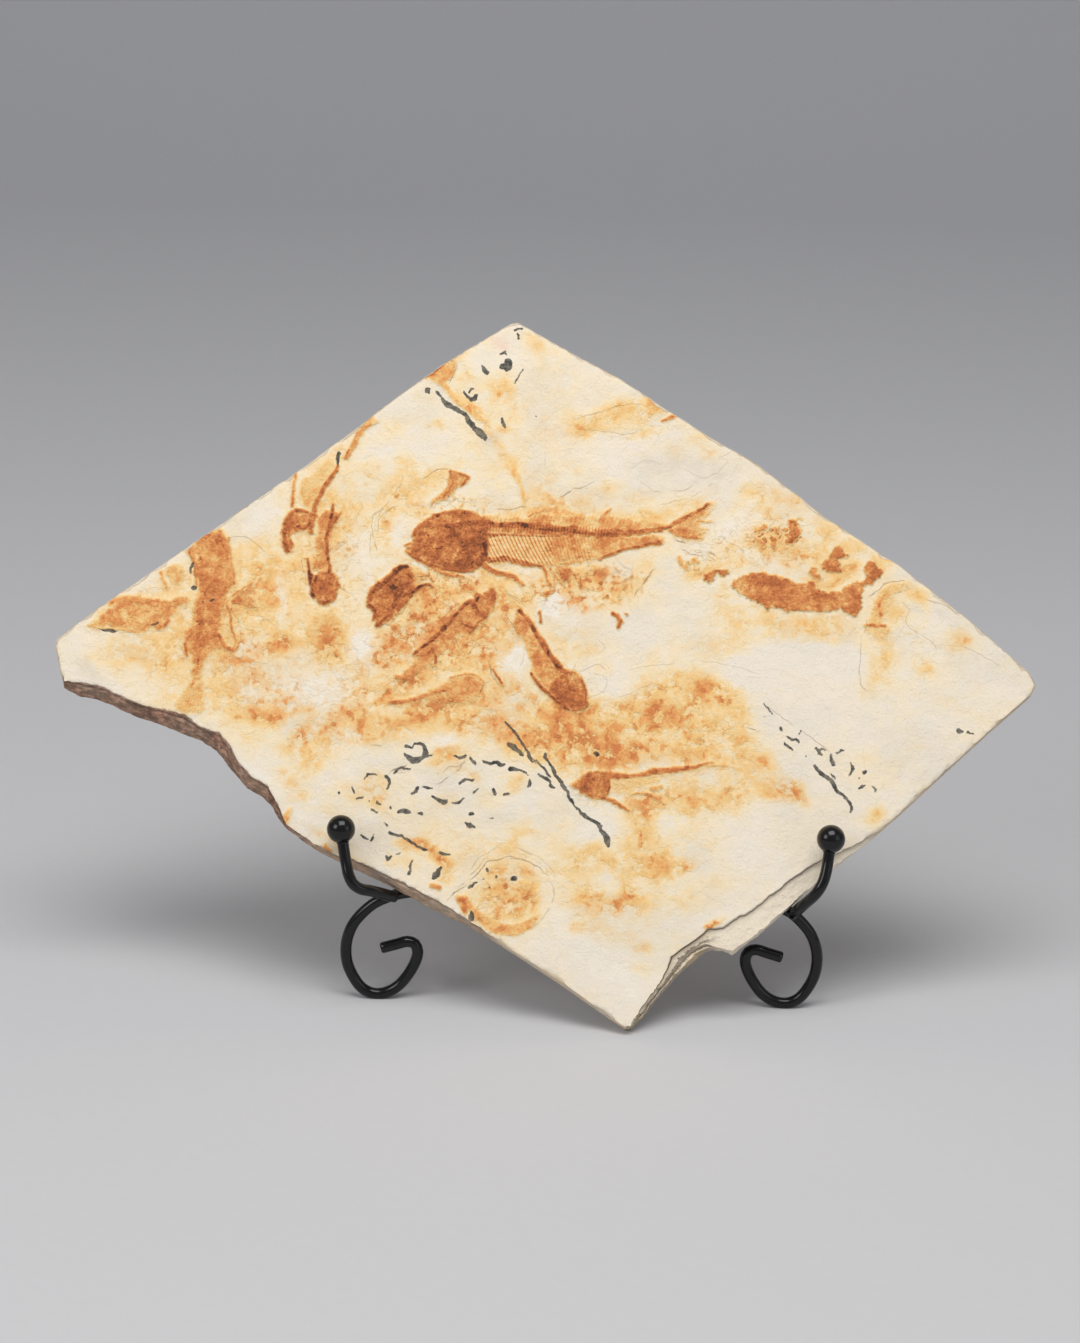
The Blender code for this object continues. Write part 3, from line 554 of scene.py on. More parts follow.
    (1.2, ((-14.8, 73.4, 0.45), (-14.5, 73, 0.45))),
    # low streak
    (0.5, ((2.8, 60, 0.5), (2.6, 57, 0.8), (2.8, 55.2, 0.8))),
    # coil
    (0.76, ((-52, 38.4, 0.8), (-50.6, 36.8, 1.3), (-50, 34.2, 0.9))),
    (0.36, ((-33, 42.8, 1.4), (-30, 41.4, 1.6), (-28.6, 38.4, 1.2))),
    (0.5, (
        (-50, 38, 1), (-46.4, 33.6, 1.5), (-41.4, 30, 2), (-36.4, 28.8, 2), (-31.4, 30.2, 1.6),
        (-27.8, 33.6, 0.8),
    )),
    # edge rust
    (0.5, ((-92.4, 53.2, 0.9), (-91.2, 51.2, 1))),
    (0.44, ((-105.8, 59.4, 1), (-104.8, 61.6, 1.3), (-103.4, 64, 0.8))),
    (0.72, ((-60, 41.6, 0.8), (-57.8, 41, 0.7))),
    # bent fish
    (0.66, ((70.4, 124.6, 0.5), (73, 125, 0.7), (76, 125, 0.5))),
    (0.6, ((75, 128, 0.6), (74, 131, 0.6), (75.6, 134.4, 0.4))),
    # chip by the ledge
    (0.66, ((22.6, 30.6, 0.4), (25, 32, 0.9), (27.6, 33.6, 0.5))),
)
# Iron stains: u, v, half width, half height, strength and, where it is turned, the turn in degrees.
STAINS = (
    (-147.9, 110.4, 18.2, 6.7, 0.22, 10), (-162.1, 121.5, 6.1, 3, 0.3, 30), (-114.7, 137.7, 7.9, 10.3, 0.3),
    (-118, 128.2, 6.7, 5.5, 0.22), (-142, 115.2, 9.1, 6.7, 0.26), (-129.2, 115.5, 12.1, 16.7, 0.24),
    (-145.7, 132.2, 10.3, 4.2, 0.22, 30), (-121.7, 95.8, 9.1, 4.8, 0.42, -10),
    (-113.6, 107.2, 9.1, 7.3, 0.36), (-107.8, 116, 3.9, 3.3, 0.55), (-94.1, 116.3, 7.3, 7.9, 0.6),
    (-94.6, 113.2, 4.8, 3.6, 0.4), (-101.7, 97.5, 10.3, 7.9, 0.34), (-111.3, 93, 6.1, 4.2, 0.4),
    (-101.2, 83.7, 6.7, 4.2, 0.46), (-106.4, 74, 4.2, 3.6, 0.3), (-99.2, 77.9, 3.6, 4.2, 0.42),
    (-87.6, 92.9, 10.3, 4.2, 0.44, 12), (-95.3, 86.9, 7.9, 4.2, 0.36), (-80.1, 87.3, 9.1, 4.8, 0.46),
    (-101.9, 68.3, 3.6, 3, 0.3), (-93.8, 61.4, 7.3, 3, 0.12, -25), (-86.8, 107.8, 7.3, 4.8, 0.34),
    (-83, 101.1, 7.9, 3.6, 0.42), (-122.2, 115.6, 6.7, 4.8, 0.3), (-116.5, 86.4, 4.8, 3, 0.25, -20),
    (-100.8, 163.1, 10.3, 9.1, 0.26), (-92, 175.9, 9.1, 4.2, 0.26, 45), (-94.2, 147.5, 6.7, 10.3, 0.2),
    (-103.2, 140.4, 6.1, 4.8, 0.28), (-88.5, 160.2, 5.5, 6.7, 0.14), (-77.2, 153, 3, 2.7, 0.5),
    (-74.9, 158.1, 2.7, 2.4, 0.42), (-72.6, 162.5, 5.5, 4.8, 0.34), (-64.1, 167.1, 6.7, 3, 0.3, 20),
    (-72.2, 170.1, 4.8, 4.8, 0.22), (-68.5, 159.2, 4.8, 4.2, 0.22), (-77, 146.4, 3.6, 3.6, 0.24),
    (-84.7, 136.8, 2.4, 4.2, 0.18), (-71.8, 116.9, 9.1, 7.3, 0.4), (-74.8, 113.7, 6.1, 4.2, 0.3),
    (-61.1, 125.8, 7.9, 6.7, 0.44), (-53.5, 117.3, 10.3, 7.3, 0.44, 30), (-62.4, 107.2, 10.9, 4.8, 0.5, 25),
    (-74.4, 101.3, 7.9, 3.6, 0.5, 20), (-80.2, 110.4, 5.5, 4.8, 0.32), (-47.2, 110, 7.3, 6.1, 0.42),
    (-54.6, 98.7, 12.1, 4.8, 0.5, 10), (-40, 123.8, 5.5, 7.9, 0.3), (-38, 130.1, 4.2, 3.6, 0.4),
    (-41, 102.1, 7.9, 5.5, 0.5), (-23.4, 136.1, 7.3, 3.6, 0.46, -10), (-13.7, 137.6, 7.9, 4.2, 0.44),
    (-19, 130.6, 6.1, 4.2, 0.36), (-9.9, 132.1, 5.5, 4.2, 0.38), (1, 140.4, 5.5, 3, 0.26),
    (-2, 134.1, 4.2, 3, 0.24), (-12.5, 140.1, 3, 2.4, 0.3), (-55.5, 134.4, 7.9, 3.6, 0.42),
    (-63.1, 132, 6.1, 3.6, 0.4), (-17, 120.7, 4.8, 3.6, 0.22), (-9.6, 118.4, 7.9, 4.8, 0.16),
    (-13.8, 113.3, 4.8, 3.6, 0.2), (5.8, 112.5, 2.4, 4.2, 0.18), (-8.8, 109.7, 3, 2.4, 0.22),
    (-36.2, 157.1, 12.1, 2.4, 0.34), (-17.8, 156.9, 15.2, 2.7, 0.4), (0.7, 156.7, 12.1, 2.4, 0.4),
    (-24, 161.8, 9.1, 3, 0.3, 15), (-11.8, 165.2, 7.9, 2.7, 0.36, 8), (0.5, 163.7, 4.2, 2.4, 0.2),
    (-30.3, 166.1, 5.5, 5.5, 0.26), (-19.6, 171.4, 6.1, 3, 0.12, -30), (-28.6, 160.1, 5.5, 2.4, 0.3),
    (15.9, 161.2, 6.1, 2.4, 0.28, 25), (-53.2, 197.8, 6.1, 2.7, 0.24, -30), (-44.2, 195.5, 3.9, 3.6, 0.4),
    (-43.4, 199.3, 4.8, 4.2, 0.24), (-55.6, 192.7, 3, 1.5, 0.34, -40), (-51.1, 189.3, 3.6, 1.5, 0.34, -45),
    (-47, 183.7, 3.6, 1.5, 0.32, -55), (-42.9, 178.4, 4.2, 1.8, 0.36, -50), (-39, 172.8, 3.9, 1.8, 0.3, -55),
    (-62.1, 184.9, 3, 2.4, 0.28), (-52.9, 210.2, 9.1, 4.2, 0.14, 30), (-32.6, 212.3, 4.2, 3.6, 0.24),
    (-33.8, 186.8, 18.2, 15.2, 0.12), (-28.1, 206.1, 12.1, 6.1, 0.12, -30), (-59.6, 204.6, 3.6, 1.8, 0.4, 20),
    (-40.5, 182.9, 2.4, 1.2, 0.34, -10), (-12.3, 187.4, 7.9, 3.6, 0.3, 12), (-4.3, 191.4, 7.3, 2.7, 0.34, 8),
    (-18.4, 185.3, 3.6, 3, 0.3), (6.2, 192.2, 6.1, 3, 0.42, -20), (0.2, 182.9, 7.3, 1.5, 0.3, 12),
    (18.6, 183, 4.2, 2.4, 0.24), (11.3, 177.8, 4.2, 3, 0.24), (22.4, 178.1, 3.6, 2.4, 0.24),
    (15.5, 186.4, 4.8, 1.8, 0.22, -20), (-12.6, 206.4, 6.1, 1.8, 0.14, -32),
    (-67.9, 193.9, 4.8, 2.7, 0.14, 35), (-76.3, 184.2, 7.3, 3, 0.12, 35), (-82, 169.9, 4.8, 3.6, 0.14),
    (40.5, 160.8, 9.1, 6.7, 0.36, -20), (36.1, 166.4, 4.8, 3.6, 0.34), (40.6, 152, 6.7, 4.2, 0.4),
    (49.7, 162, 4.8, 3.6, 0.3), (31.5, 148.1, 9.1, 3, 0.3), (49.9, 147.3, 7.9, 4.2, 0.4),
    (57.8, 154.3, 6.1, 4.2, 0.36), (37.7, 144.4, 12.1, 2.7, 0.36), (19.3, 140.9, 6.7, 3, 0.3),
    (27, 142.3, 5.5, 2.4, 0.34), (65.2, 149.8, 4.2, 3, 0.34), (57.9, 138.1, 5.5, 3, 0.42),
    (65.3, 140.4, 3.6, 3, 0.3), (74.4, 145.3, 4.2, 2.4, 0.26, -30), (37.9, 125.1, 13.3, 5.5, 0.34, -8),
    (50.2, 122.3, 10.3, 4.2, 0.36), (59.3, 125.6, 10.3, 3, 0.36), (26.8, 131.7, 6.1, 4.8, 0.22),
    (41.1, 116.5, 21.2, 7.9, 0.2), (19.7, 119.1, 15.2, 6.1, 0.12), (62.4, 120.1, 7.3, 3, 0.24),
    (82.1, 135.5, 6.1, 3, 0.38), (87.4, 133.1, 3.6, 2.4, 0.34, -20), (79.4, 129.2, 4.2, 4.2, 0.3),
    (76.5, 117.3, 4.2, 6.1, 0.26), (74.1, 110.4, 4.2, 4.8, 0.28), (70.5, 104.8, 2.4, 3.6, 0.18),
    (99.6, 122.8, 3, 3, 0.46), (98.4, 120.3, 4.2, 2.7, 0.24), (88.7, 111.4, 3.6, 3, 0.3),
    (95.5, 100.4, 4.2, 2.1, 0.16), (73.9, 65.4, 2.7, 2.7, 0.34), (73.7, 83.2, 6.1, 3, 0.12),
    (85.5, 88.1, 2.4, 1.8, 0.16), (90.2, 74.4, 3, 2.4, 0.1), (-22.5, 94.5, 10.3, 6.1, 0.52),
    (-10.4, 96, 7.9, 5.5, 0.5), (-31.8, 99.2, 9.1, 4.8, 0.46), (-26, 85.2, 10.3, 6.1, 0.5),
    (-10.2, 85.8, 12.1, 6.1, 0.56), (1.8, 94.5, 7.9, 6.1, 0.5), (6.2, 103.2, 6.1, 4.8, 0.5),
    (16.8, 106.6, 7.9, 3.6, 0.5), (23, 103.6, 7.9, 4.2, 0.54), (9.4, 95.6, 6.1, 4.2, 0.6),
    (17.6, 98.9, 3.6, 3, 0.66), (27.3, 100.6, 6.1, 4.8, 0.46), (20.1, 91.2, 9.1, 4.8, 0.5),
    (32.2, 95.8, 4.2, 4.8, 0.4), (6.3, 85.3, 9.1, 4.8, 0.54), (20.3, 83.5, 7.9, 4.2, 0.42),
    (33.6, 86.9, 5.5, 4.8, 0.3), (-4.6, 80.7, 6.1, 3, 0.4), (-19.1, 79.5, 4.8, 3.6, 0.5),
    (-15.7, 87.3, 5.5, 3.6, 0.5), (-38.2, 89.8, 7.9, 4.8, 0.44), (-49.8, 92, 10.3, 4.2, 0.5, 8),
    (-62.1, 94.8, 10.3, 3.6, 0.52, 12), (-71.1, 91.5, 9.1, 4.2, 0.46), (-55.7, 82.6, 6.1, 3, 0.4),
    (34.3, 77.4, 7.9, 6.1, 0.34), (20.5, 71.2, 10.3, 4.8, 0.36), (32.6, 70, 6.7, 4.2, 0.3),
    (46.2, 72.7, 3.9, 3.6, 0.5), (50.1, 72.8, 3, 3.6, 0.46), (52.6, 70.4, 1.8, 2.4, 0.4),
    (41, 73.2, 4.2, 3, 0.34), (10.8, 69.4, 9.1, 4.8, 0.42), (2.3, 66.8, 6.1, 4.2, 0.44),
    (38.5, 80.9, 4.8, 4.8, 0.3), (2.5, 57.6, 7.9, 6.7, 0.42), (10.5, 49.3, 4.8, 4.2, 0.5),
    (17.8, 49.4, 3, 2.7, 0.44), (2.7, 47.9, 9.1, 5.5, 0.5), (-7.7, 51.9, 7.9, 6.1, 0.4),
    (1, 40.5, 4.8, 4.2, 0.6), (-6.1, 37, 7.9, 4.8, 0.52), (-13.4, 38.4, 5.5, 4.8, 0.46),
    (-15.7, 30.7, 3, 2.7, 0.42), (-6, 28.2, 7.3, 3.6, 0.4), (3.1, 24.2, 4.2, 2.4, 0.44),
    (5.9, 37.3, 7.3, 6.1, 0.36), (-16.7, 49.2, 6.7, 6.1, 0.24), (18, 39.1, 6.1, 3.6, 0.2),
    (20.7, 57.4, 9.1, 9.1, 0.14), (26.9, 43.9, 4.8, 3.6, 0.14), (-21.4, 44.2, 4.2, 6.1, 0.16),
    (18.2, 25.5, 9.1, 3.6, 0.12, 30), (3.3, 16.9, 3, 1.5, 0.2), (-37, 39.9, 13.3, 12.1, 0.36),
    (-39.5, 43.8, 5.5, 4.8, 0.24), (-29.7, 38, 3.6, 5.5, 0.34), (-37.8, 34.1, 6.1, 3, 0.24),
    (-33.5, 46.4, 4.2, 2.1, 0.24), (-79, 72.2, 4.8, 4.2, 0.4), (-78.9, 67.3, 4.8, 3.6, 0.3),
    (-60.8, 50.6, 7.3, 2.1, 0.5, -20), (-66.4, 53.5, 4.2, 1.8, 0.44, -20), (-54.1, 47.1, 3.6, 2.7, 0.34),
    (-70.4, 48.6, 4.8, 2.4, 0.24, -20), (-55.5, 43.4, 4.2, 2.4, 0.28), (-87.1, 70.2, 4.8, 4.2, 0.16),
    (-55.5, 77.1, 5.5, 3, 0.34), (-48.2, 75.4, 3, 2.7, 0.3), (-36, 72.9, 3.6, 3, 0.38),
    (-33.8, 59.2, 4.2, 3.6, 0.3), (-38.6, 54.2, 4.2, 2.1, 0.34), (-42.5, 68.2, 5.5, 3.6, 0.12),
    (-58.7, 83.1, 4.2, 1.8, 0.3), (-61.7, 80, 3, 1.5, 0.4), (-92.1, 81.7, 4.2, 2.4, 0.2),
    (-56.7, 66.9, 3.6, 2.1, 0.14), (-89.6, 53, 3.6, 1.8, 0.46, -30), (-84.4, 49.5, 3, 1.5, 0.34, -30),
    (-94.3, 56.2, 4.2, 1.5, 0.28, -30), (-48.8, 52.7, 9.1, 3.6, 0.08, 30), (-21.7, 59.5, 7.9, 6.1, 0.16),
    (-14, 53.6, 4.8, 4.2, 0.26), (48, 119, 15, 8, -0.5, -10), (34, 110, 9, 6, -0.3), (-118, 125, 13, 26, 0.2),
    (-128, 128, 16, 24, 0.14), (-150, 110, 14, 9, 0.14, -20), (-146, 124, 18, 9, 0.16),
    (-112, 108, 12, 16, 0.16), (-98, 146, 12, 16, 0.16), (-82, 158, 12, 14, 0.18), (-70, 150, 9, 12, 0.14),
    (-64, 126, 12, 12, 0.28), (-75, 112, 14, 10, 0.2), (-40, 130, 16, 9, 0.28), (-30, 134, 20, 7, 0.28),
    (-20, 146, 20, 10, 0.14), (-30, 160, 34, 5, 0.16), (-48, 115, 12, 10, 0.25), (-34, 116, 8, 10, 0.16),
    (-10, 134, 14, 9, 0.2), (10, 150, 16, 7, 0.12), (45, 145, 24, 10, 0.14, -14), (60, 128, 24, 8, 0.14, -14),
    (-90, 100, 20, 12, 0.16), (-20, 92, 34, 12, 0.16), (10, 80, 26, 12, 0.12), (-60, 58, 20, 9, 0.14, -24),
    (-38, 40, 11, 11, 0.12), (-103, 128, 7, 16, 0.22), (-94, 124, 7, 9, 0.16), (-22, 115, 6, 9, 0.16),
    (-141, 99, 13, 7, 0.16), (-56, 170, 16, 6, 0.1), (62, 144, 13, 5, 0.2, -20), (76, 144, 4, 4, 0.3),
    (-155, 126, 9, 4, 0.1), (-96, 118, 9, 9, -0.25), (-85, 108, 7, 6, -0.4), (-112, 108, 8, 6, -0.2),
    (-8, 54, 12, 8, -0.3), (4, 44, 9, 8, -0.25), (-31, 98, 8, 6, -0.25), (-8, 98, 12, 6, -0.15),
    (-17, 135, 9, 6, -0.2), (-31, 134, 8, 6, -0.15), (-40, 44, 7, 6, -0.2), (-30, 36, 7, 7, -0.15),
    (-48, 44, 6, 5, -0.1), (-40, 185, 24, 16, 0.06), (-90, 125, 10, 12, 0.1), (-58, 138, 16, 4, 0.24),
)
# Paler clouds, and where negative greyer ones, in the same terms. The greyer ones are partly the bed's own
# grey tone and partly painted shade of the face's gentle rolling relief.
CLOUDS = (
    (-164.7, 111.5, 7.9, 4.8, 0.5, -10), (-156.9, 106.1, 9.1, 3, 0.5, -20),
    (-151.8, 132.1, 7.3, 2.4, 0.6, 33), (-107.8, 131.6, 1.5, 6.1, 0.9, 5), (-116.5, 153.3, 7.9, 4.2, 0.6, 38),
    (-106.5, 166.1, 5.5, 4.2, 0.4, 40), (-96.9, 100.7, 5.5, 3.3, 0.7), (-86.2, 88.7, 5.5, 2.4, 0.6),
    (-87.6, 84, 6.7, 2.4, 0.3), (-84.8, 141.5, 2.4, 9.1, 0.6), (-83.4, 116.6, 2.7, 4.2, 0.5),
    (-102.7, 125.5, 2.4, 3, 0.3), (-118.1, 112.6, 3, 3.6, 0.3), (-113, 72.6, 9.1, 3, 0.7, -40),
    (-97.5, 62.3, 6.7, 2.7, 0.6, -30), (-87.3, 74.8, 3.6, 4.8, 0.4), (-57.3, 85.6, 4.8, 2.7, 0.7),
    (-35.1, 113.1, 3.3, 3.9, 0.8, 20), (-45.9, 117.5, 3, 2.4, 0.5), (-56.2, 125.9, 3.6, 2.4, 0.5, 30),
    (-37.7, 117.7, 2.4, 2.4, -0.5), (-58.4, 70.9, 10.3, 6.7, -0.22), (-46.1, 63.5, 13.9, 6.7, -0.18, -10),
    (-40.1, 68.2, 6.1, 3.6, 0.2), (-24.9, 65.5, 7.9, 6.1, -0.12, -30), (-55, 58.7, 9.1, 2.7, -0.1, -15),
    (-27.5, 111.7, 1.8, 3, 0.1), (-48.7, 49.7, 7.3, 2.4, -0.4, 32), (-42.8, 52.9, 4.8, 2.1, 0.3, 35),
    (-3, 121.6, 10.3, 6.1, 0.3), (-10.7, 112.1, 6.7, 3.6, 0.35), (-2.9, 103, 6.7, 3.6, 0.4),
    (4.4, 118.7, 10.3, 5.5, 0.2), (-24.8, 128.9, 3, 4.2, 0.6), (-32.7, 138.1, 4.2, 3.6, 0.4),
    (-51, 136.1, 4.8, 1.8, 0.5), (-54.1, 137.5, 7.3, 1.2, 0.6, -8), (18.8, 172.3, 10.3, 6.7, -0.5),
    (6.5, 175.2, 7.9, 5.5, -0.35), (15.6, 181.7, 7.9, 4.2, -0.2), (0.4, 171.8, 6.1, 4.2, -0.3),
    (29.6, 172.6, 6.1, 6.1, -0.25), (26.6, 163, 6.7, 4.2, -0.3), (3.6, 165.6, 9.1, 3, -0.4),
    (-14.8, 163.3, 7.9, 2.4, -0.2), (-20.1, 193.5, 9.1, 4.2, -0.3, 12), (-29.2, 185.4, 6.1, 4.8, -0.12),
    (32.9, 156.9, 6.7, 6.1, 0.6), (25.3, 153.6, 4.8, 4.2, 0.4), (6.4, 181.5, 7.3, 3.6, 0.3, 20),
    (-15.1, 177.8, 15.2, 6.1, 0.2), (40.7, 144.5, 7.3, 1.8, 0.5, -10), (33.9, 146.6, 4.2, 1.8, 0.5, -20),
    (22.9, 147.9, 4.8, 1.5, 0.6, -20), (16.1, 148.6, 3.6, 1.2, 0.4), (-11.6, 155.8, 1.8, 0.9, 0.2),
    (-5.2, 140.3, 3, 2.4, 0.5, -30), (1, 138.9, 4.2, 2.4, 0.2, -30), (8.7, 137.5, 6.1, 4.2, -0.15),
    (19.5, 131.5, 9.1, 4.8, 0.1), (16.5, 125.2, 18.2, 6.1, 0.1), (92.9, 130.2, 3, 1.5, -0.7, -30),
    (84.3, 131.2, 2.7, 2.7, -0.35), (97.6, 114.7, 7.3, 3, -0.3, -25), (106.7, 113.4, 6.7, 3, -0.3, -35),
    (106.7, 105.6, 10.3, 4.8, -0.15), (80.7, 120.5, 4.8, 4.2, -0.3), (71.7, 104.8, 3, 4.2, -0.4),
    (91.5, 102.2, 7.3, 3.6, -0.15), (111.3, 105.7, 7.3, 3, 0.3), (65.6, 101.5, 18.2, 12.1, 0.15),
    (56.5, 101.3, 12.1, 12.1, 0.25), (38.8, 60.9, 18.2, 9.1, 0.25), (32.9, 51.6, 12.1, 9.1, 0.25),
    (51, 52.1, 12.1, 6.1, 0.2, 40), (-2.7, 14.4, 12.1, 4.2, 0.5, -20), (-8.8, 20.3, 12.1, 3, 0.5, -35),
    (0.4, 8.4, 4.2, 3, 0.5), (21.1, 30.1, 9.1, 3, 0.4, 35), (-37.4, 209, 6.1, 4.8, 0.3),
    (-26, 195, 9.1, 7.9, 0.1), (-44.4, 177.1, 4.2, 5.5, -0.35, -20), (-45.9, 178.6, 3.6, 3.6, -0.3),
    (-49.4, 194.4, 4.2, 2.4, 0.2, -30), (-42, 204.1, 6.1, 4.2, 0.3), (-72.5, 192.2, 6.1, 2.4, 0.3, 35),
    (-95.1, 175.9, 4.8, 2.4, 0.3, 35), (-61.4, 179.8, 9.1, 6.1, 0.15), (-72.2, 151.2, 3.6, 4.2, 0.6, -30),
    (-73.3, 146.5, 2.4, 3, 0.6), (-65.5, 160.8, 4.8, 1.8, 0.5, 30), (-75.6, 141.7, 4.2, 3, 0.4),
    (-26, 47.2, 6.1, 3, 0.2, -40), (-21.1, 29.1, 4.8, 4.8, 0.35), (-21.2, 36.6, 3.6, 5.5, 0.3),
    (-28.2, 24.4, 4.8, 2.4, 0.4, -30), (-45.3, 36.1, 2.4, 1.5, 0.3), (-39.3, 36.2, 1.8, 3, 0.2),
    (-84, 112, 5, 6, 0.95), (-100, 103, 9, 5, 0.8), (-36, 112, 5, 5.5, 0.9), (-22, 128, 8, 6, 0.7),
    (-92, 99, 9, 4, 0.7), (-112, 100, 8, 6, 0.5), (-158, 108, 11, 7, -0.5), (-166, 106, 6, 6, -0.4),
    (-150, 102, 9, 5, 0.4), (20, 14, 14, 8, 0.3), (-8, 20, 12, 8, 0.35),
)
# Where crumbs of rust are strewn, in the same terms.
CRUMBS = (
    (40, 152, 5, 4.2, 1.6), (48, 153.6, 3, 4, 1.8), (16.4, 143.4, 4.6, 3, 0.9), (-8, 136, 13, 6, 0.7, 10),
    (-28, 133, 6, 5, 0.9), (-20, 143.6, 16, 3, 0.5), (-14, 137, 8, 4, 0.8), (-56, 159, 10, 3, 0.9),
    (-58, 137.4, 9, 3, 0.9), (-68, 144, 4, 6, 0.6), (-10, 130.4, 3, 2, 1), (-56, 146, 17, 12, 0.5),
    (-62, 126, 13, 8, 0.5, 40), (-75, 130, 8, 10, 0.7), (-94, 132, 7, 8, 0.6), (-40, 36, 11, 9, 0.45),
    (-48, 118, 10, 8, 0.35), (-95, 146, 12, 16, 0.35), (0, 90, 30, 12, 0.25), (-84, 108, 22, 12, 0.3),
    (30, 150, 24, 8, 0.3, -10), (-62, 162, 10, 10, 0.2), (88, 122, 8, 6, 0.35, -20), (-20, 104, 10, 8, 0.4),
    (-12, 73, 8, 6, 0.5), (-120, 118, 14, 20, 0.25), (5, 186, 9, 4, 0.4),
)
# Pink blushes, in the same terms.
BLUSHES = (
    (-43.2, 212.1, 2.7, 2.4, 0.8), (-44.3, 210.4, 1.8, 1.5, 0.5), (-2.8, 178.1, 6.1, 2.4, 0.2),
    (-24.5, 185.5, 4.8, 2.4, 0.2),
)
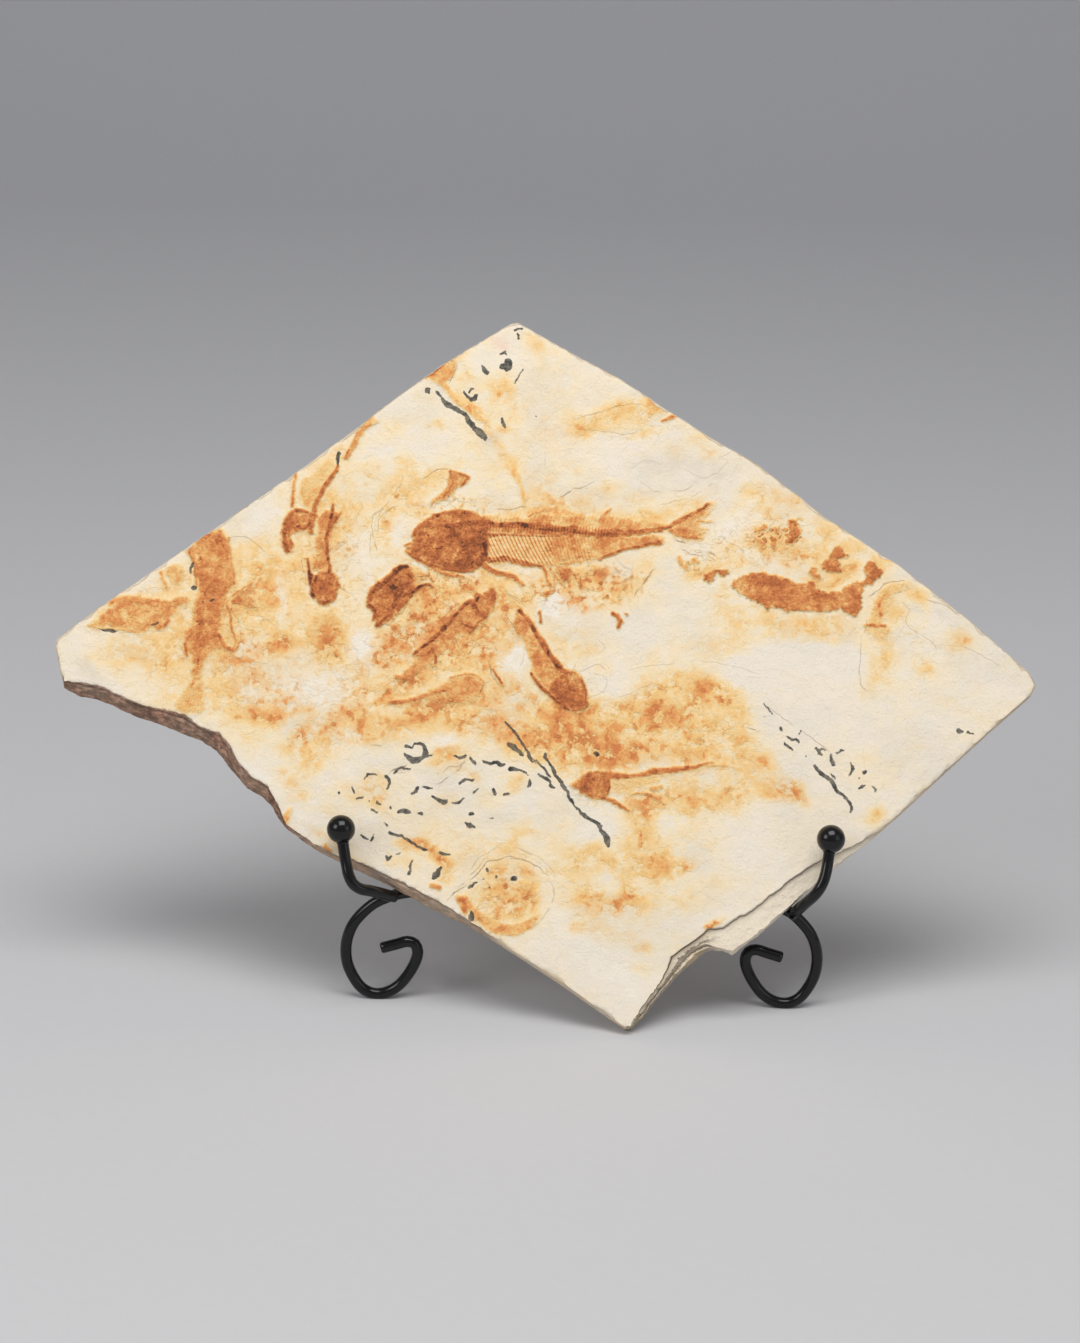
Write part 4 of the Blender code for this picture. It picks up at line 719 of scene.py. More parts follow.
# Hair-thin lines on the bed: width, strength, route.
THREADS = (
    (0.35, 0.6, ((-58.6, 205.4), (-57.2, 204.6), (-57.4, 202), (-59, 199.2))),
    (0.4, 0.75, ((12, 149.4), (16, 148.5), (20, 147), (23.6, 145.6))),
    (0.3, 0.6, ((14, 147.4), (18, 145.8), (22, 144))),
    (0.5, 0.7, ((5.2, 140), (3, 137.4), (1.6, 134.8), (0.4, 132.8))),
    (0.35, 0.55, ((-10.8, 143), (-7.4, 140.4), (-4.2, 138.2))),
    (0.3, 0.5, ((-9.4, 143.8), (-6, 141), (-2.8, 138.4))),
    (0.3, 0.45, ((-7, 144.4), (-4.4, 142.4), (-2.4, 140.8))),
    (0.45, 0.7, ((-23.2, 163.2), (-21.4, 164.2))),
    (0.45, 0.85, ((-20, 165.2), (-18, 165.4), (-16.4, 166.2))),
    (0.35, 0.5, ((-16, 166.6), (-13, 167.8), (-9, 168.4))),
    (0.35, 0.6, ((-43.2, 158.4), (-39, 158.8), (-35, 158.9))),
    (0.3, 0.55, ((-18.6, 154.8), (-17.4, 157))),
    (0.3, 0.6, ((-70, 166.2), (-66, 168.4), (-62, 170.2), (-58.4, 170.2))),
    (0.35, 0.5, ((-18, 188.4), (-12, 190.4), (-6, 192.2), (0, 192.8))),
    (0.3, 0.4, ((-19.6, 184.4), (-13, 183.6), (-6, 183), (0, 183.8))),
    (0.35, 0.6, ((72, 134.6), (74.4, 137), (77.4, 138.8), (81, 139.6), (85, 139.2))),
    (0.35, 0.45, ((70, 126), (69.4, 121), (69.2, 116), (68.2, 110), (69.6, 106), (71, 104.6))),
    (0.35, 0.6, ((-50.4, 79.8), (-52.4, 77.6), (-55, 75.4), (-58, 73), (-60, 72.4))),
    (0.35, 0.55, ((-57.4, 76.2), (-56.4, 77.6), (-53.4, 77.8), (-50.8, 79.6))),
    (0.3, 0.5, ((-125.2, 147.8), (-121, 147.6), (-117, 145.8), (-114.6, 143.8))),
    (0.3, 0.5, ((-38.6, 125), (-36.8, 121.6))),
    (0.3, 0.5, ((-39.8, 124), (-38, 120.6))),
    (0.3, 0.4, ((-40, 132), (-36, 128.6))),
    (0.3, 0.45, ((-46, 48), (-49, 45.4), (-51.4, 42.6))),
    (0.35, 0.55, ((-35.8, 50), (-33.6, 50.5), (-31.8, 50.1))),
    (0.3, 0.4, ((-81.6, 152), (-80.8, 155.6), (-78.6, 158))),
    (0.3, 0.4, ((-81.8, 150), (-81.6, 145))),
    (0.27, 0.5, (
        (-79.4, 145.4), (-81.4, 151), (-81, 155.7), (-78.9, 158.6), (-76.2, 161.5), (-73.3, 165),
        (-72.1, 168.2),
    )),
    (0.27, 0.45, ((-79.6, 151), (-79.1, 154.8), (-76.7, 158), (-73.7, 159.7), (-70.9, 159.1))),
    (0.27, 0.3, ((-28.5, 184.4), (-28.1, 179.4), (-28.3, 173.7))),
    (0.27, 0.3, ((-0.9, 109.9), (4.6, 111.2), (16.7, 112.1), (29, 111.2), (37.5, 108.9))),
    (0.27, 0.35, ((-19.5, 97), (-10.4, 98.2), (-0.8, 102.4), (5.9, 104.5))),
    (0.24, 0.3, ((6.8, 72.4), (12, 68.9), (14.5, 67.7))),
    (0.27, 0.4, ((81.6, 132.1), (83.7, 130.6), (82.5, 127.4), (84.4, 124.3), (89.9, 120.7), (93, 117.1))),
    (0.36, 0.5, ((89.8, 133.2), (94.4, 131.4), (97.5, 129))),
    (0.27, 0.35, ((95.4, 119.3), (101.5, 117.9), (108.2, 114.3), (112.8, 111.4))),
    (0.27, 0.2, ((88.4, 116), (88.1, 108.3), (87, 102.1))),
    (0.27, 0.5, ((41.3, 98.5), (47.5, 94.3), (52.4, 90.7), (59.7, 85.4))),
    (0.36, 0.7, ((33.5, 93.1), (35.3, 92.8), (37.5, 91.9))),
    (0.42, 0.6, ((-81.5, 83.8), (-78.5, 83.8), (-74.5, 84))),
    (0.48, 0.8, ((-74.9, 74.8), (-73.4, 76.3), (-71.6, 77.6), (-69.5, 78.3))),
    (0.55, 0.7, ((-71.9, 75.8), (-69.4, 76.1), (-66.7, 76.8))),
    (0.36, 0.7, (
        (-54.7, 37.7), (-53, 39.8), (-50.6, 42.3), (-48, 44.8), (-45.6, 47.3), (-43, 49.5),
        (-38.5, 51.2),
    )),
    (0.36, 0.6, ((-38.5, 51.2), (-36.1, 50.9), (-32.7, 50.1), (-29.7, 48.9), (-26.9, 47.5))),
    (0.3, 0.4, (
        (-26.9, 47.5), (-24.4, 44.2), (-23.1, 40.3), (-24.2, 35.7), (-27.1, 31.4), (-31.6, 28.2),
    )),
    (0.42, 0.35, ((-33.7, 53.1), (-29.4, 51.4), (-25.7, 49), (-22.6, 46))),
    (0.3, 0.4, ((-48.7, 47.3), (-46.3, 49.7), (-43.3, 52.3), (-39.8, 54.2))),
    (0.33, 0.5, ((-34.6, 128.3), (-36.8, 130.2), (-39.3, 132))),
    (0.27, 0.35, ((-37.7, 117.7), (-35.2, 114.6), (-33.9, 111.6), (-35, 108.4))),
    (0.27, 0.3, ((-50, 98.8), (-47, 101.9), (-43.5, 104.5))),
    (0.36, 0.5, ((-60, 129.6), (-56.9, 127.2), (-58, 124.7), (-61, 122.1))),
    (0.36, 0.45, ((-55.1, 117.3), (-52.8, 114.2), (-50.4, 113), (-48.6, 115.5))),
    (0.42, 0.45, ((-45.5, 111.3), (-43.5, 106.4), (-41, 103.3))),
    (0.3, 0.4, ((-103.2, 141.1), (-102.2, 138), (-101.4, 134.8))),
    (0.3, 0.35, ((-123.4, 125), (-120.8, 121.3), (-120.6, 115.7), (-122.3, 112.5))),
    (0.24, 0.3, ((-119.4, 124.7), (-114.2, 123), (-110.1, 120.3), (-107.2, 116))),
    (0.3, 0.35, ((-13.5, 99.7), (-9.3, 102.2), (-8.8, 106), (-11.8, 107.7))),
    (0.36, 0.4, ((-15.2, 109.5), (-11.9, 110.8), (-9.1, 109))),
    (0.3, 0.3, ((-11.3, 113.6), (-8.9, 115.3), (-10.8, 117.7))),
    (0.3, 0.3, ((14.5, 172.2), (18.9, 169.8), (23.8, 171.2), (26.8, 175))),
    (0.3, 0.35, ((0.4, 168.1), (5.4, 165.7), (11.6, 165.2), (15.8, 167.2))),
    (0.3, 0.35, ((6.7, 161), (12.8, 162.7), (18.9, 165.4), (23.8, 169.3))),
    (0.3, 0.3, ((-2.7, 171.8), (2.2, 174.4), (7.1, 173.3))),
    (0.3, 0.3, ((20.6, 178.7), (24.3, 176.8), (28, 178.2))),
    (0.3, 0.35, ((26.5, 150.5), (31.5, 148.1), (34, 144.4))),
)
# Dark dendrites: routes as (u, v, half width).
SOOT = (
    ((-65.6, 195.3, 0.8),), ((-62.9, 195, 0.35), (-61.9, 193.8, 0.45)),
    (
        (-61.2, 193, 0.4), (-59.8, 191.5, 0.7), (-57.5, 190.2, 0.55), (-55, 189, 0.65),
        (-53.4, 187.6, 0.65), (-52.4, 186, 0.75), (-51, 184.3, 0.65), (-49.4, 182.6, 0.75),
        (-48.2, 181.2, 0.95), (-47.8, 180.6, 0.6),
    ),
    ((-48.8, 203.8, 0.25), (-48, 202.6, 0.45), (-47.2, 201.8, 0.6)),
    ((-43.5, 207.6, 0.35), (-42.2, 208.2, 0.45), (-41.6, 207.6, 0.35)),
    ((-42.8, 203.6, 0.7), (-41.4, 203.6, 1.2), (-41, 205, 1)),
    ((-36.4, 202.8, 0.25), (-37.6, 200.8, 0.22), (-38.8, 198.6, 0.15)),
    ((-39.3, 215.6, 0.25), (-38.2, 216.1, 0.35), (-37, 216.2, 0.25)),
    ((-38.4, 214.6, 0.25), (-37.8, 213, 0.3)),
    (
        (-54.4, 195.4, 0.25), (-53.4, 194, 0.35), (-52.2, 193.2, 0.5), (-51, 193.4, 0.6),
        (-50.6, 194.2, 0.4),
    ),
    ((-52.8, 195.4, 0.2), (-51.8, 196.2, 0.25)),
    ((-42.4, 187.2, 0.25), (-42.2, 185.8, 0.55), (-41.6, 184.7, 0.5), (-40.9, 184.2, 0.15)),
    ((-32, 188.2, 0.25),),
    (
        (-66.5, 85, 0.35), (-63.8, 84.6, 0.5), (-63, 82.6, 0.65), (-63.6, 80.6, 0.5),
        (-65.6, 79.6, 0.65), (-67.4, 80.4, 0.65), (-69.2, 81.2, 0.45), (-69.8, 81.8, 0.25),
    ),
    ((-69.4, 84.2, 0.35), (-67.6, 83.6, 0.25)), ((-62.4, 81, 0.35), (-61, 81.8, 0.15)),
    ((-67.4, 83.4, 0.25), (-66.6, 85.2, 0.25)),
    ((-54.4, 81.6, 0.25), (-52.5, 81, 0.45), (-50.8, 81.4, 0.35)),
    ((-49.2, 80.9, 0.35), (-48.2, 79.9, 0.45), (-47.8, 79.2, 0.25)),
    ((-45, 79.8, 0.35), (-43, 79.7, 0.45), (-41.5, 79.9, 0.45), (-39.6, 78.9, 0.5), (-38.8, 79, 0.25)),
    ((-37, 77.8, 0.5), (-34.8, 77.6, 0.35), (-32.4, 76.8, 0.35), (-31.6, 76.4, 0.25)),
    ((-31.2, 75, 0.25), (-31, 73.6, 0.45), (-31.6, 72.6, 0.35)),
    ((-52.4, 73, 0.35), (-51, 74.2, 0.35), (-48.8, 74.4, 0.4), (-48.2, 75, 0.2)),
    ((-42.2, 71.4, 0.35), (-41.8, 70.4, 0.5)), ((-39, 70.2, 0.35), (-37.2, 70.4, 0.2)),
    ((-47, 71.5, 0.2), (-48.4, 70.6, 0.25)),
    ((-65.2, 71.6, 0.35), (-65.4, 70.2, 0.5), (-66.6, 69.4, 0.35)),
    ((-63.2, 72, 0.35), (-61, 71.2, 0.25)),
    ((-60.6, 68.9, 0.35), (-58.8, 67.8, 0.5), (-57.4, 67.4, 0.8), (-56.6, 67.6, 0.5)),
    ((-54.6, 67, 0.25), (-52.6, 67.4, 0.35), (-51, 68.6, 0.25)),
    ((-74.8, 75, 0.4), (-73.6, 73.4, 0.4), (-74.4, 71, 0.3)),
    ((-72.4, 76, 0.25), (-71, 77.4, 0.25), (-69.2, 77.6, 0.25), (-67.6, 77.2, 0.2)),
    ((-85, 71.2, 0.25), (-84.2, 69.6, 0.35)), ((-83.4, 67.6, 0.25), (-81.6, 68, 0.25)),
    ((-79.4, 67.2, 0.3),), ((-77.2, 66.8, 0.4), (-76.2, 66.2, 0.25)),
    ((-78.6, 64.2, 0.4), (-77.2, 63.8, 0.25)), ((-81.8, 74, 0.2), (-80.2, 75.3, 0.3), (-77.6, 75.2, 0.2)),
    ((-89.2, 69.2, 0.35),), ((-70.6, 64.1, 0.4), (-69, 64.2, 0.55), (-67.2, 64.3, 0.3)),
    ((-64.8, 63.6, 0.35), (-64, 63.5, 0.6)), ((-73.2, 65.2, 0.35),),
    ((-48.9, 63.8, 0.45), (-48.2, 63.9, 0.5)),
    ((-50.2, 60.8, 0.35), (-48.8, 59.9, 0.7), (-47.8, 59.7, 0.4)), ((-43, 63, 0.2), (-42, 62.8, 0.2)),
    ((-75, 60.6, 0.25), (-74, 59.6, 0.25)),
    (
        (-73.2, 57.6, 0.5), (-72, 57.2, 0.5), (-70.2, 56.6, 0.35), (-68, 55.6, 0.35), (-66, 54.2, 0.35),
        (-64, 53, 0.35), (-62.2, 52.4, 0.3),
    ),
    ((-58.2, 51.8, 0.25), (-56.8, 51.3, 0.5), (-55, 51.2, 0.25)),
    ((-81.8, 56.4, 0.25), (-81, 55.8, 0.4), (-80, 55.6, 0.25)),
    ((-79, 55.2, 0.25), (-78.4, 56, 0.4), (-78, 57.2, 0.2)),
    ((-74, 50.4, 0.3), (-73.6, 49.4, 0.45), (-72.4, 50.2, 0.2)), ((-71, 50.6, 0.2), (-70, 51.4, 0.2)),
    ((-67.2, 45.2, 0.35), (-66.4, 46.4, 0.35), (-66.8, 47.6, 0.35), (-66.2, 49, 0.3)),
    ((-59.4, 43.8, 0.4), (-58.8, 45, 0.8), (-58, 46.6, 0.45), (-57.2, 47.4, 0.25)), ((-43.4, 47, 0.45),),
    ((-49.2, 41.4, 0.25), (-48, 42, 0.35), (-46.8, 43, 0.25)), ((-44.8, 43.9, 0.25),),
    ((-42.6, 41.4, 0.25),), ((-40.4, 44.6, 0.3),), ((-35.8, 44.2, 0.4), (-34.8, 44.6, 0.5)),
    ((-48.2, 33.6, 0.35), (-48, 32.3, 0.7)),
    (
        (-38.8, 92.4, 0.3), (-37, 90.4, 0.3), (-35.2, 87.6, 0.35), (-33, 84.4, 0.3), (-31, 81.4, 0.3),
        (-30.4, 80.2, 0.25),
    ),
    ((-37.8, 85.4, 0.4), (-36.4, 84.4, 0.6), (-34.8, 83, 0.5), (-33.4, 82, 0.3)),
    (
        (-26.6, 82.8, 0.25), (-26.9, 81.4, 0.4), (-25.6, 79.8, 0.35), (-24, 77.8, 0.45), (-23, 76, 0.45),
        (-21.4, 73.6, 0.45), (-19.8, 71.2, 0.35), (-18.2, 68.6, 0.35), (-16.4, 66.2, 0.3),
        (-14.8, 64.4, 0.45), (-12.8, 63, 0.35), (-11, 62.2, 0.45), (-10, 61.6, 0.5), (-9.4, 60, 0.45),
        (-8.4, 58.4, 0.5), (-7.6, 56.8, 0.8), (-7, 55, 0.3),
    ),
    ((-29, 80.6, 0.2), (-27.6, 78.8, 0.25), (-26, 76.8, 0.35), (-25, 75.4, 0.25)),
    (
        (-28.8, 76.6, 0.25), (-27, 75.4, 0.35), (-25.4, 74.6, 0.3), (-24.6, 72.8, 0.35),
        (-23.4, 72.4, 0.15),
    ),
    ((-31.8, 83.6, 0.15), (-30.6, 82, 0.2), (-29.4, 80, 0.2)), ((-11.4, 83.3, 0.5), (-10.7, 82.9, 0.4)),
    ((39.6, 100, 0.2), (41, 98.6, 0.25), (42.2, 96.8, 0.15)), ((39.8, 96, 0.25),),
    ((44.8, 92.4, 0.45), (45.2, 91.8, 0.3)), ((50.6, 92, 0.25), (50.3, 91, 0.2)),
    ((46.6, 90, 0.25), (47.8, 89.2, 0.35), (49.2, 89.1, 0.3), (50.2, 88.2, 0.35)),
    ((46, 88.4, 0.15), (46.2, 87.2, 0.4), (47.4, 86.4, 0.35), (48.2, 85.8, 0.2)), ((52.6, 84, 0.25),),
    ((55.6, 86.4, 0.35), (56.4, 85.4, 0.45), (57, 84.4, 0.25)),
    ((56.8, 86, 0.35), (58, 86.6, 0.2), (58.6, 86, 0.15)),
    ((60.2, 84.8, 0.25), (60.4, 83, 0.35), (60.8, 81.6, 0.35)),
    ((61.6, 85.2, 0.2), (62.8, 86, 0.25), (64, 85.8, 0.25)),
    ((66, 82, 0.2), (66.8, 81, 0.35), (66.4, 79.4, 0.35), (65.6, 78.4, 0.2)), ((69, 77.6, 0.3),),
    ((70, 79.4, 0.35), (71, 80, 0.35)), ((68.8, 74.2, 0.35), (69.8, 74.8, 0.45), (70.6, 75.2, 0.25)),
    ((72.8, 75, 0.25), (73.8, 74.2, 0.35), (73.8, 73.2, 0.25)),
    ((60, 78.6, 0.2), (61, 77.6, 0.3), (61.6, 77, 0.2)),
    (
        (55, 81.6, 0.35), (56, 80, 0.45), (57.6, 78.4, 0.45), (59.4, 77, 0.55), (60.8, 76, 0.55),
        (61.6, 74.4, 0.45), (62.8, 73, 0.45), (64, 72.2, 0.35), (65, 71, 0.45), (66, 69.2, 0.35),
        (66.8, 67.6, 0.35), (66.6, 66.8, 0.25),
    ),
    ((98.6, 92.8, 0.45), (100, 92.4, 0.3)), ((101.6, 92.4, 0.35), (103.6, 92.2, 0.15)),
    ((-136.2, 139.4, 0.3), (-136.6, 137.8, 0.45), (-136.4, 136.4, 0.3)), ((-135.2, 131.4, 0.55),),
    ((-132.4, 127.6, 0.25),), ((-130.2, 127.5, 0.35), (-129.4, 128.1, 0.25)),
    ((-164, 118.2, 0.15), (-161.5, 117.7, 0.35), (-158.6, 117.5, 0.35), (-157.8, 117.8, 0.15)),
    ((-147.6, 119.6, 0.2), (-145.9, 120.2, 0.25)),
    ((-92.5, 175, 0.25), (-92.5, 173.2, 0.55), (-92.2, 171.6, 0.3)),
)

# Families of fine parallel lines in the bone: low corner and high corner (u, v), spacing,
# lean of the lines (u for each v), bend, strength.
COMBS = (
    ((-45.6, 141.6), (-25.0, 151.0), 1.2, -0.4, 0.014, 1.0),  # ribs
    ((-27.0, 142.0), (-12.0, 150.6), 1.05, -0.3, 0.0, 0.3),  # hind ribs
    ((-46.0, 154.2), (2.0, 158.0), 1.25, 0.3, 0.0, 0.24),  # spines above the back
    ((-46.0, 150.6), (-8.0, 153.9), 0.95, 0.1, 0.0, 0.5),  # joints of the spine
    ((-147.5, 104.0), (-138.0, 116.5), 1.6, 0.75, 0.0, 0.16),  # left fin
    ((-11.8, 136.0), (0.6, 144.8), 0.95, -1.24, 0.0, 0.8),  # anal fin
)
# Fans of fine lines: centre, spokes to a radian, radii, angles in degrees, strength.
FANS = (
    ((7.5, 153.1), 26.0, (3.0, 25.0), (6.0, 50.0), 0.6),  # upper tail lobe
    ((6.5, 152.8), 22.0, (9.0, 24.0), (-34.0, -8.0), 0.45),  # lower tail lobe
    ((-132.8, 108.5), 16.0, (3.0, 16.0), (-122.0, -70.0), 0.2),  # upright fish, tail
    ((-123.2, 128.4), 20.0, (1.0, 9.0), (-26.0, 48.0), 0.5),  # upright fish, fin
    ((-58.8, 162.0), 20.0, (1.0, 10.0), (34.0, 86.0), 0.45),  # small fan
)


# ---------------------------------------------------------------- shader expressions

class Value:
    """A number that varies over a surface: a shader socket that takes part in expressions."""

    def __init__(self, finish, socket):
        self.finish = finish
        self.socket = socket

    def maths(self, operation, *values):
        return self.finish.node("ShaderNodeMath", {"operation": operation}, list(values))

    def __add__(self, other):
        return self.maths("ADD", self, other)

    def __radd__(self, other):
        return self.maths("ADD", other, self)

    def __sub__(self, other):
        return self.maths("SUBTRACT", self, other)

    def __rsub__(self, other):
        return self.maths("SUBTRACT", other, self)

    def __mul__(self, other):
        return self.maths("MULTIPLY", self, other)

    def __rmul__(self, other):
        return self.maths("MULTIPLY", other, self)

    def over(self, low, high):
        """0 below low, 1 above high, smooth between."""
        settings = {"interpolation_type": "SMOOTHSTEP"}
        inputs = {"Value": self, "From Min": low, "From Max": high}
        return self.finish.node("ShaderNodeMapRange", settings, inputs)

    def size(self):
        return self.maths("ABSOLUTE", self)

    def largest(self, other):
        return self.maths("MAXIMUM", self, other)

    def within(self, low, high):
        return self.maths("MINIMUM", self.maths("MAXIMUM", self, low), high)

    def wave(self, spacing=1.0):
        """A triangle wave: 1 at whole numbers of spacings, 0 half way between."""
        return 1 - self.maths("PINGPONG", self * (2.0 / spacing), 1.0)


class Finish:
    """A material under construction, with one method that adds nodes."""

    def __init__(self, name, **constants):
        self.material = bpy.data.materials.new(name)
        self.material.use_nodes = True
        self.tree = self.material.node_tree
        self.shader = self.tree.nodes["Principled BSDF"]
        for socket, value in constants.items():
            self.shader.inputs[socket.replace("_", " ")].default_value = value

    def node(self, kind, settings=None, inputs=None, output=0):
        node = self.tree.nodes.new(kind)
        for name, value in (settings or {}).items():
            setattr(node, name, value)
        pairs = enumerate(inputs) if isinstance(inputs, list) else (inputs or {}).items()
        for socket, value in pairs:
            self.connect(node.inputs[socket], value)
        return Value(self, node.outputs[output])

    def connect(self, socket, value):
        if isinstance(value, Value):
            self.tree.links.new(value.socket, socket)
        else:
            socket.default_value = value

    def attribute(self, name):
        return self.node("ShaderNodeAttribute", {"attribute_name": name}, output="Fac")

    def place(self):
        return self.node("ShaderNodeTexCoord", output="Object")

    def laid_flat(self, vector):
        """The vector as it would be with the slab lying down, face up."""
        inputs = {"Vector": vector, "Angle": SLAB_LEAN - math.pi / 2}
        return self.node("ShaderNodeVectorRotate", {"rotation_type": "X_AXIS"}, inputs)

    def stretched(self, place, scale):
        return self.node("ShaderNodeVectorMath", {"operation": "MULTIPLY"}, [place, scale])

    def noise(self, place, lump, detail=3.0, roughness=0.55):
        """Cloudy noise about 0.5 whose lumps are so many millimetres across."""
        inputs = {"Vector": place, "Scale": 1 / (lump * MM), "Detail": detail, "Roughness": roughness}
        return self.node("ShaderNodeTexNoise", None, inputs)

    def mix(self, factor, first, second):
        node = self.tree.nodes.new("ShaderNodeMix")
        node.data_type = "RGBA"
        self.connect(node.inputs[0], factor)
        self.connect(node.inputs[6], first)
        self.connect(node.inputs[7], second)
        return Value(self, node.outputs[2])

    def ramp(self, factor, stops):
        """A colour that follows the stops, each a position and a colour."""
        node = self.tree.nodes.new("ShaderNodeValToRGB")
        elements = node.color_ramp.elements
        elements[0].position, elements[0].color = stops[0]
        elements[1].position, elements[1].color = stops[-1]
        for position, colour in stops[1:-1]:
            elements.new(position).color = colour
        self.connect(node.inputs["Fac"], factor)
        return Value(self, node.outputs["Color"])

    def bump(self, height, distance, strength=1.0):
        """A normal that follows the height, whose full range stands for so many millimetres."""
        inputs = {"Height": height, "Distance": distance * MM, "Strength": strength}
        return self.node("ShaderNodeBump", None, inputs)

    def set(self, **sockets):
        for socket, value in sockets.items():
            self.connect(self.shader.inputs[socket.replace("_", " ")], value)


def paint(red, green, blue):
    """A colour from display values of 0 to 255."""
    parts = []
    for level in (red, green, blue):
        share = level / 255
        parts.append(share / 12.92 if share <= 0.04045 else ((share + 0.055) / 1.055) ** 2.4)
    return (*parts, 1.0)


# ---------------------------------------------------------------- measuring on the face

def smooth(low, high, values):
    """0 below low, 1 above high, smooth between."""
    share = np.clip((values - low) / (high - low), 0.0, 1.0)
    return share * share * (3 - 2 * share)


def clouds(points, lump, seed):
    """Smooth noise from -1 to 1 whose lumps are about so wide."""
    grid = np.random.default_rng(seed).uniform(-1, 1, (128, 128))
    place = points / lump
    corner = np.floor(place).astype(int)
    share = smooth(0.0, 1.0, place - corner)
    across, up = corner[:, 0] % 128, corner[:, 1] % 128
    right, above = (across + 1) % 128, (up + 1) % 128
    low = grid[across, up] * (1 - share[:, 0]) + grid[right, up] * share[:, 0]
    high = grid[across, above] * (1 - share[:, 0]) + grid[right, above] * share[:, 0]
    return low * (1 - share[:, 1]) + high * share[:, 1]


def layered(points, layers):
    """Clouds of several sizes added together, each given as (amount, lump, seed)."""
    return sum(amount * clouds(points, lump, seed) for amount, lump, seed in layers)


def smooth_route(points, step):
    """Points about a step apart along the smooth curve through the given ones."""
    points = np.array(points, float)
    padded = np.vstack([2 * points[0] - points[1], points, 2 * points[-1] - points[-2]])
    route = []
    for before, start, end, after in zip(padded, padded[1:], padded[2:], padded[3:]):
        count = max(1, round(np.linalg.norm(end - start) / step))
        for index in range(count):
            t = index / count
            route.append(0.5 * (
                2 * start
                + (end - before) * t
                + (2 * before - 5 * start + 4 * end - after) * t ** 2
                + (3 * start - before - 3 * end + after) * t ** 3
            ))
    route.append(points[-1])
    return np.array(route)


def beside(points, route, reach):
    """Where points lie within reach of a route of (u, v, width), with gap, side and width there."""
    low = route[:, :2].min(0) - reach
    high = route[:, :2].max(0) + reach
    near = np.flatnonzero(((points > low) & (points < high)).all(1))
    gap = np.full(len(near), np.inf)
    side = np.ones(len(near))
    width = np.ones(len(near))
    for start, end in zip(route[:-1], route[1:]):
        step = end[:2] - start[:2]
        from_start = points[near] - start[:2]
        share = np.clip(from_start @ step / max(step @ step, 1e-9), 0, 1)
        offset = from_start - share[:, None] * step
        distance = np.hypot(offset[:, 0], offset[:, 1])
        closer = distance < gap
        gap[closer] = distance[closer]
        turn = step[0] * from_start[:, 1] - step[1] * from_start[:, 0]
        side[closer] = np.sign(turn[closer])
        width[closer] = (start[2] + share * (end[2] - start[2]))[closer]
    return near, gap, side, width


def with_width(loop):
    """The closed loop as a route for beside, which wants a width at each point."""
    closed = np.vstack([loop, loop[:1]])
    return np.column_stack([closed, np.ones(len(closed))])


def frayed(points, mark):
    """The points moved about by noise, which frays whatever is drawn with them."""
    for lump, amount, seed in FRAYS[mark]:
        across = clouds(points, lump, seed)
        up = clouds(points, lump, seed + 1)
        points = points + amount * np.column_stack([across, up])
    return points


def patch_strength(points):
    """The rust of the bodies of the fossils, whose edges are frayed and soft."""
    points = frayed(points, "patch")
    strength = np.zeros(len(points))
    for most, softness, outline in PATCHES:
        loop = smooth_route([*outline, outline[0]], ROUTE_STEP)
        near, gap, _, _ = beside(points, with_width(loop[:-1]), MARK_REACH)
        inside = np.zeros(len(points), bool)
        low, high = loop.min(0), loop.max(0)
        boxed = np.flatnonzero(((points > low) & (points < high)).all(1))
        inside[boxed] = odd_crossings(loop[:-1], points[boxed])
        depth = np.where(inside[near], gap, -gap)
        strength[near] = np.maximum(strength[near], most * smooth(-softness, softness, depth))
    return strength


def odd_crossings(loop, points):
    """Which points lie inside the closed loop."""
    inside = np.zeros(len(points), bool)
    for start, end in zip(loop, np.roll(loop, -1, 0)):
        rows = (start[1] > points[:, 1]) != (end[1] > points[:, 1])
        slope = (end[0] - start[0]) / (end[1] - start[1] or 1.0)
        inside ^= rows & (points[:, 0] < start[0] + (points[:, 1] - start[1]) * slope)
    return inside


def bone_strength(points):
    """The rust of the bones, which are drawn as strokes."""
    points = frayed(points, "bone")
    strength = np.zeros(len(points))
    for most, route in BONES:
        near, gap, _, width = beside(points, smooth_route(route, ROUTE_STEP), 3.0)
        here = most * (1 - smooth(-0.45, 0.7, gap - width * 0.9))
        strength[near] = np.maximum(strength[near], here)
    return strength


def soft_ellipse(points, u, v, across, up, most, turn=0.0):
    """The most at the middle of the ellipse, fading out over its edge."""
    angle = math.radians(turn)
    offset = points - (u, v)
    along = (offset[:, 0] * math.cos(angle) + offset[:, 1] * math.sin(angle)) / across
    beyond = (offset[:, 1] * math.cos(angle) - offset[:, 0] * math.sin(angle)) / up
    return most * np.exp(-1.1 * (along ** 2 + beyond ** 2) ** 1.3)


def blob_strength(points, blobs):
    """How far the points lie inside soft ellipses: built up, never above 1 for positive ones."""
    points = frayed(points, "stain")
    clear = np.ones(len(points))
    for blob in blobs:
        clear *= 1 - soft_ellipse(points, *blob)
    return 1 - clear


def blob_sum(points, blobs):
    """Soft ellipses added together, positive and negative."""
    points = frayed(points, "cloud")
    return np.clip(sum(soft_ellipse(points, *blob) for blob in blobs), -1, 1)


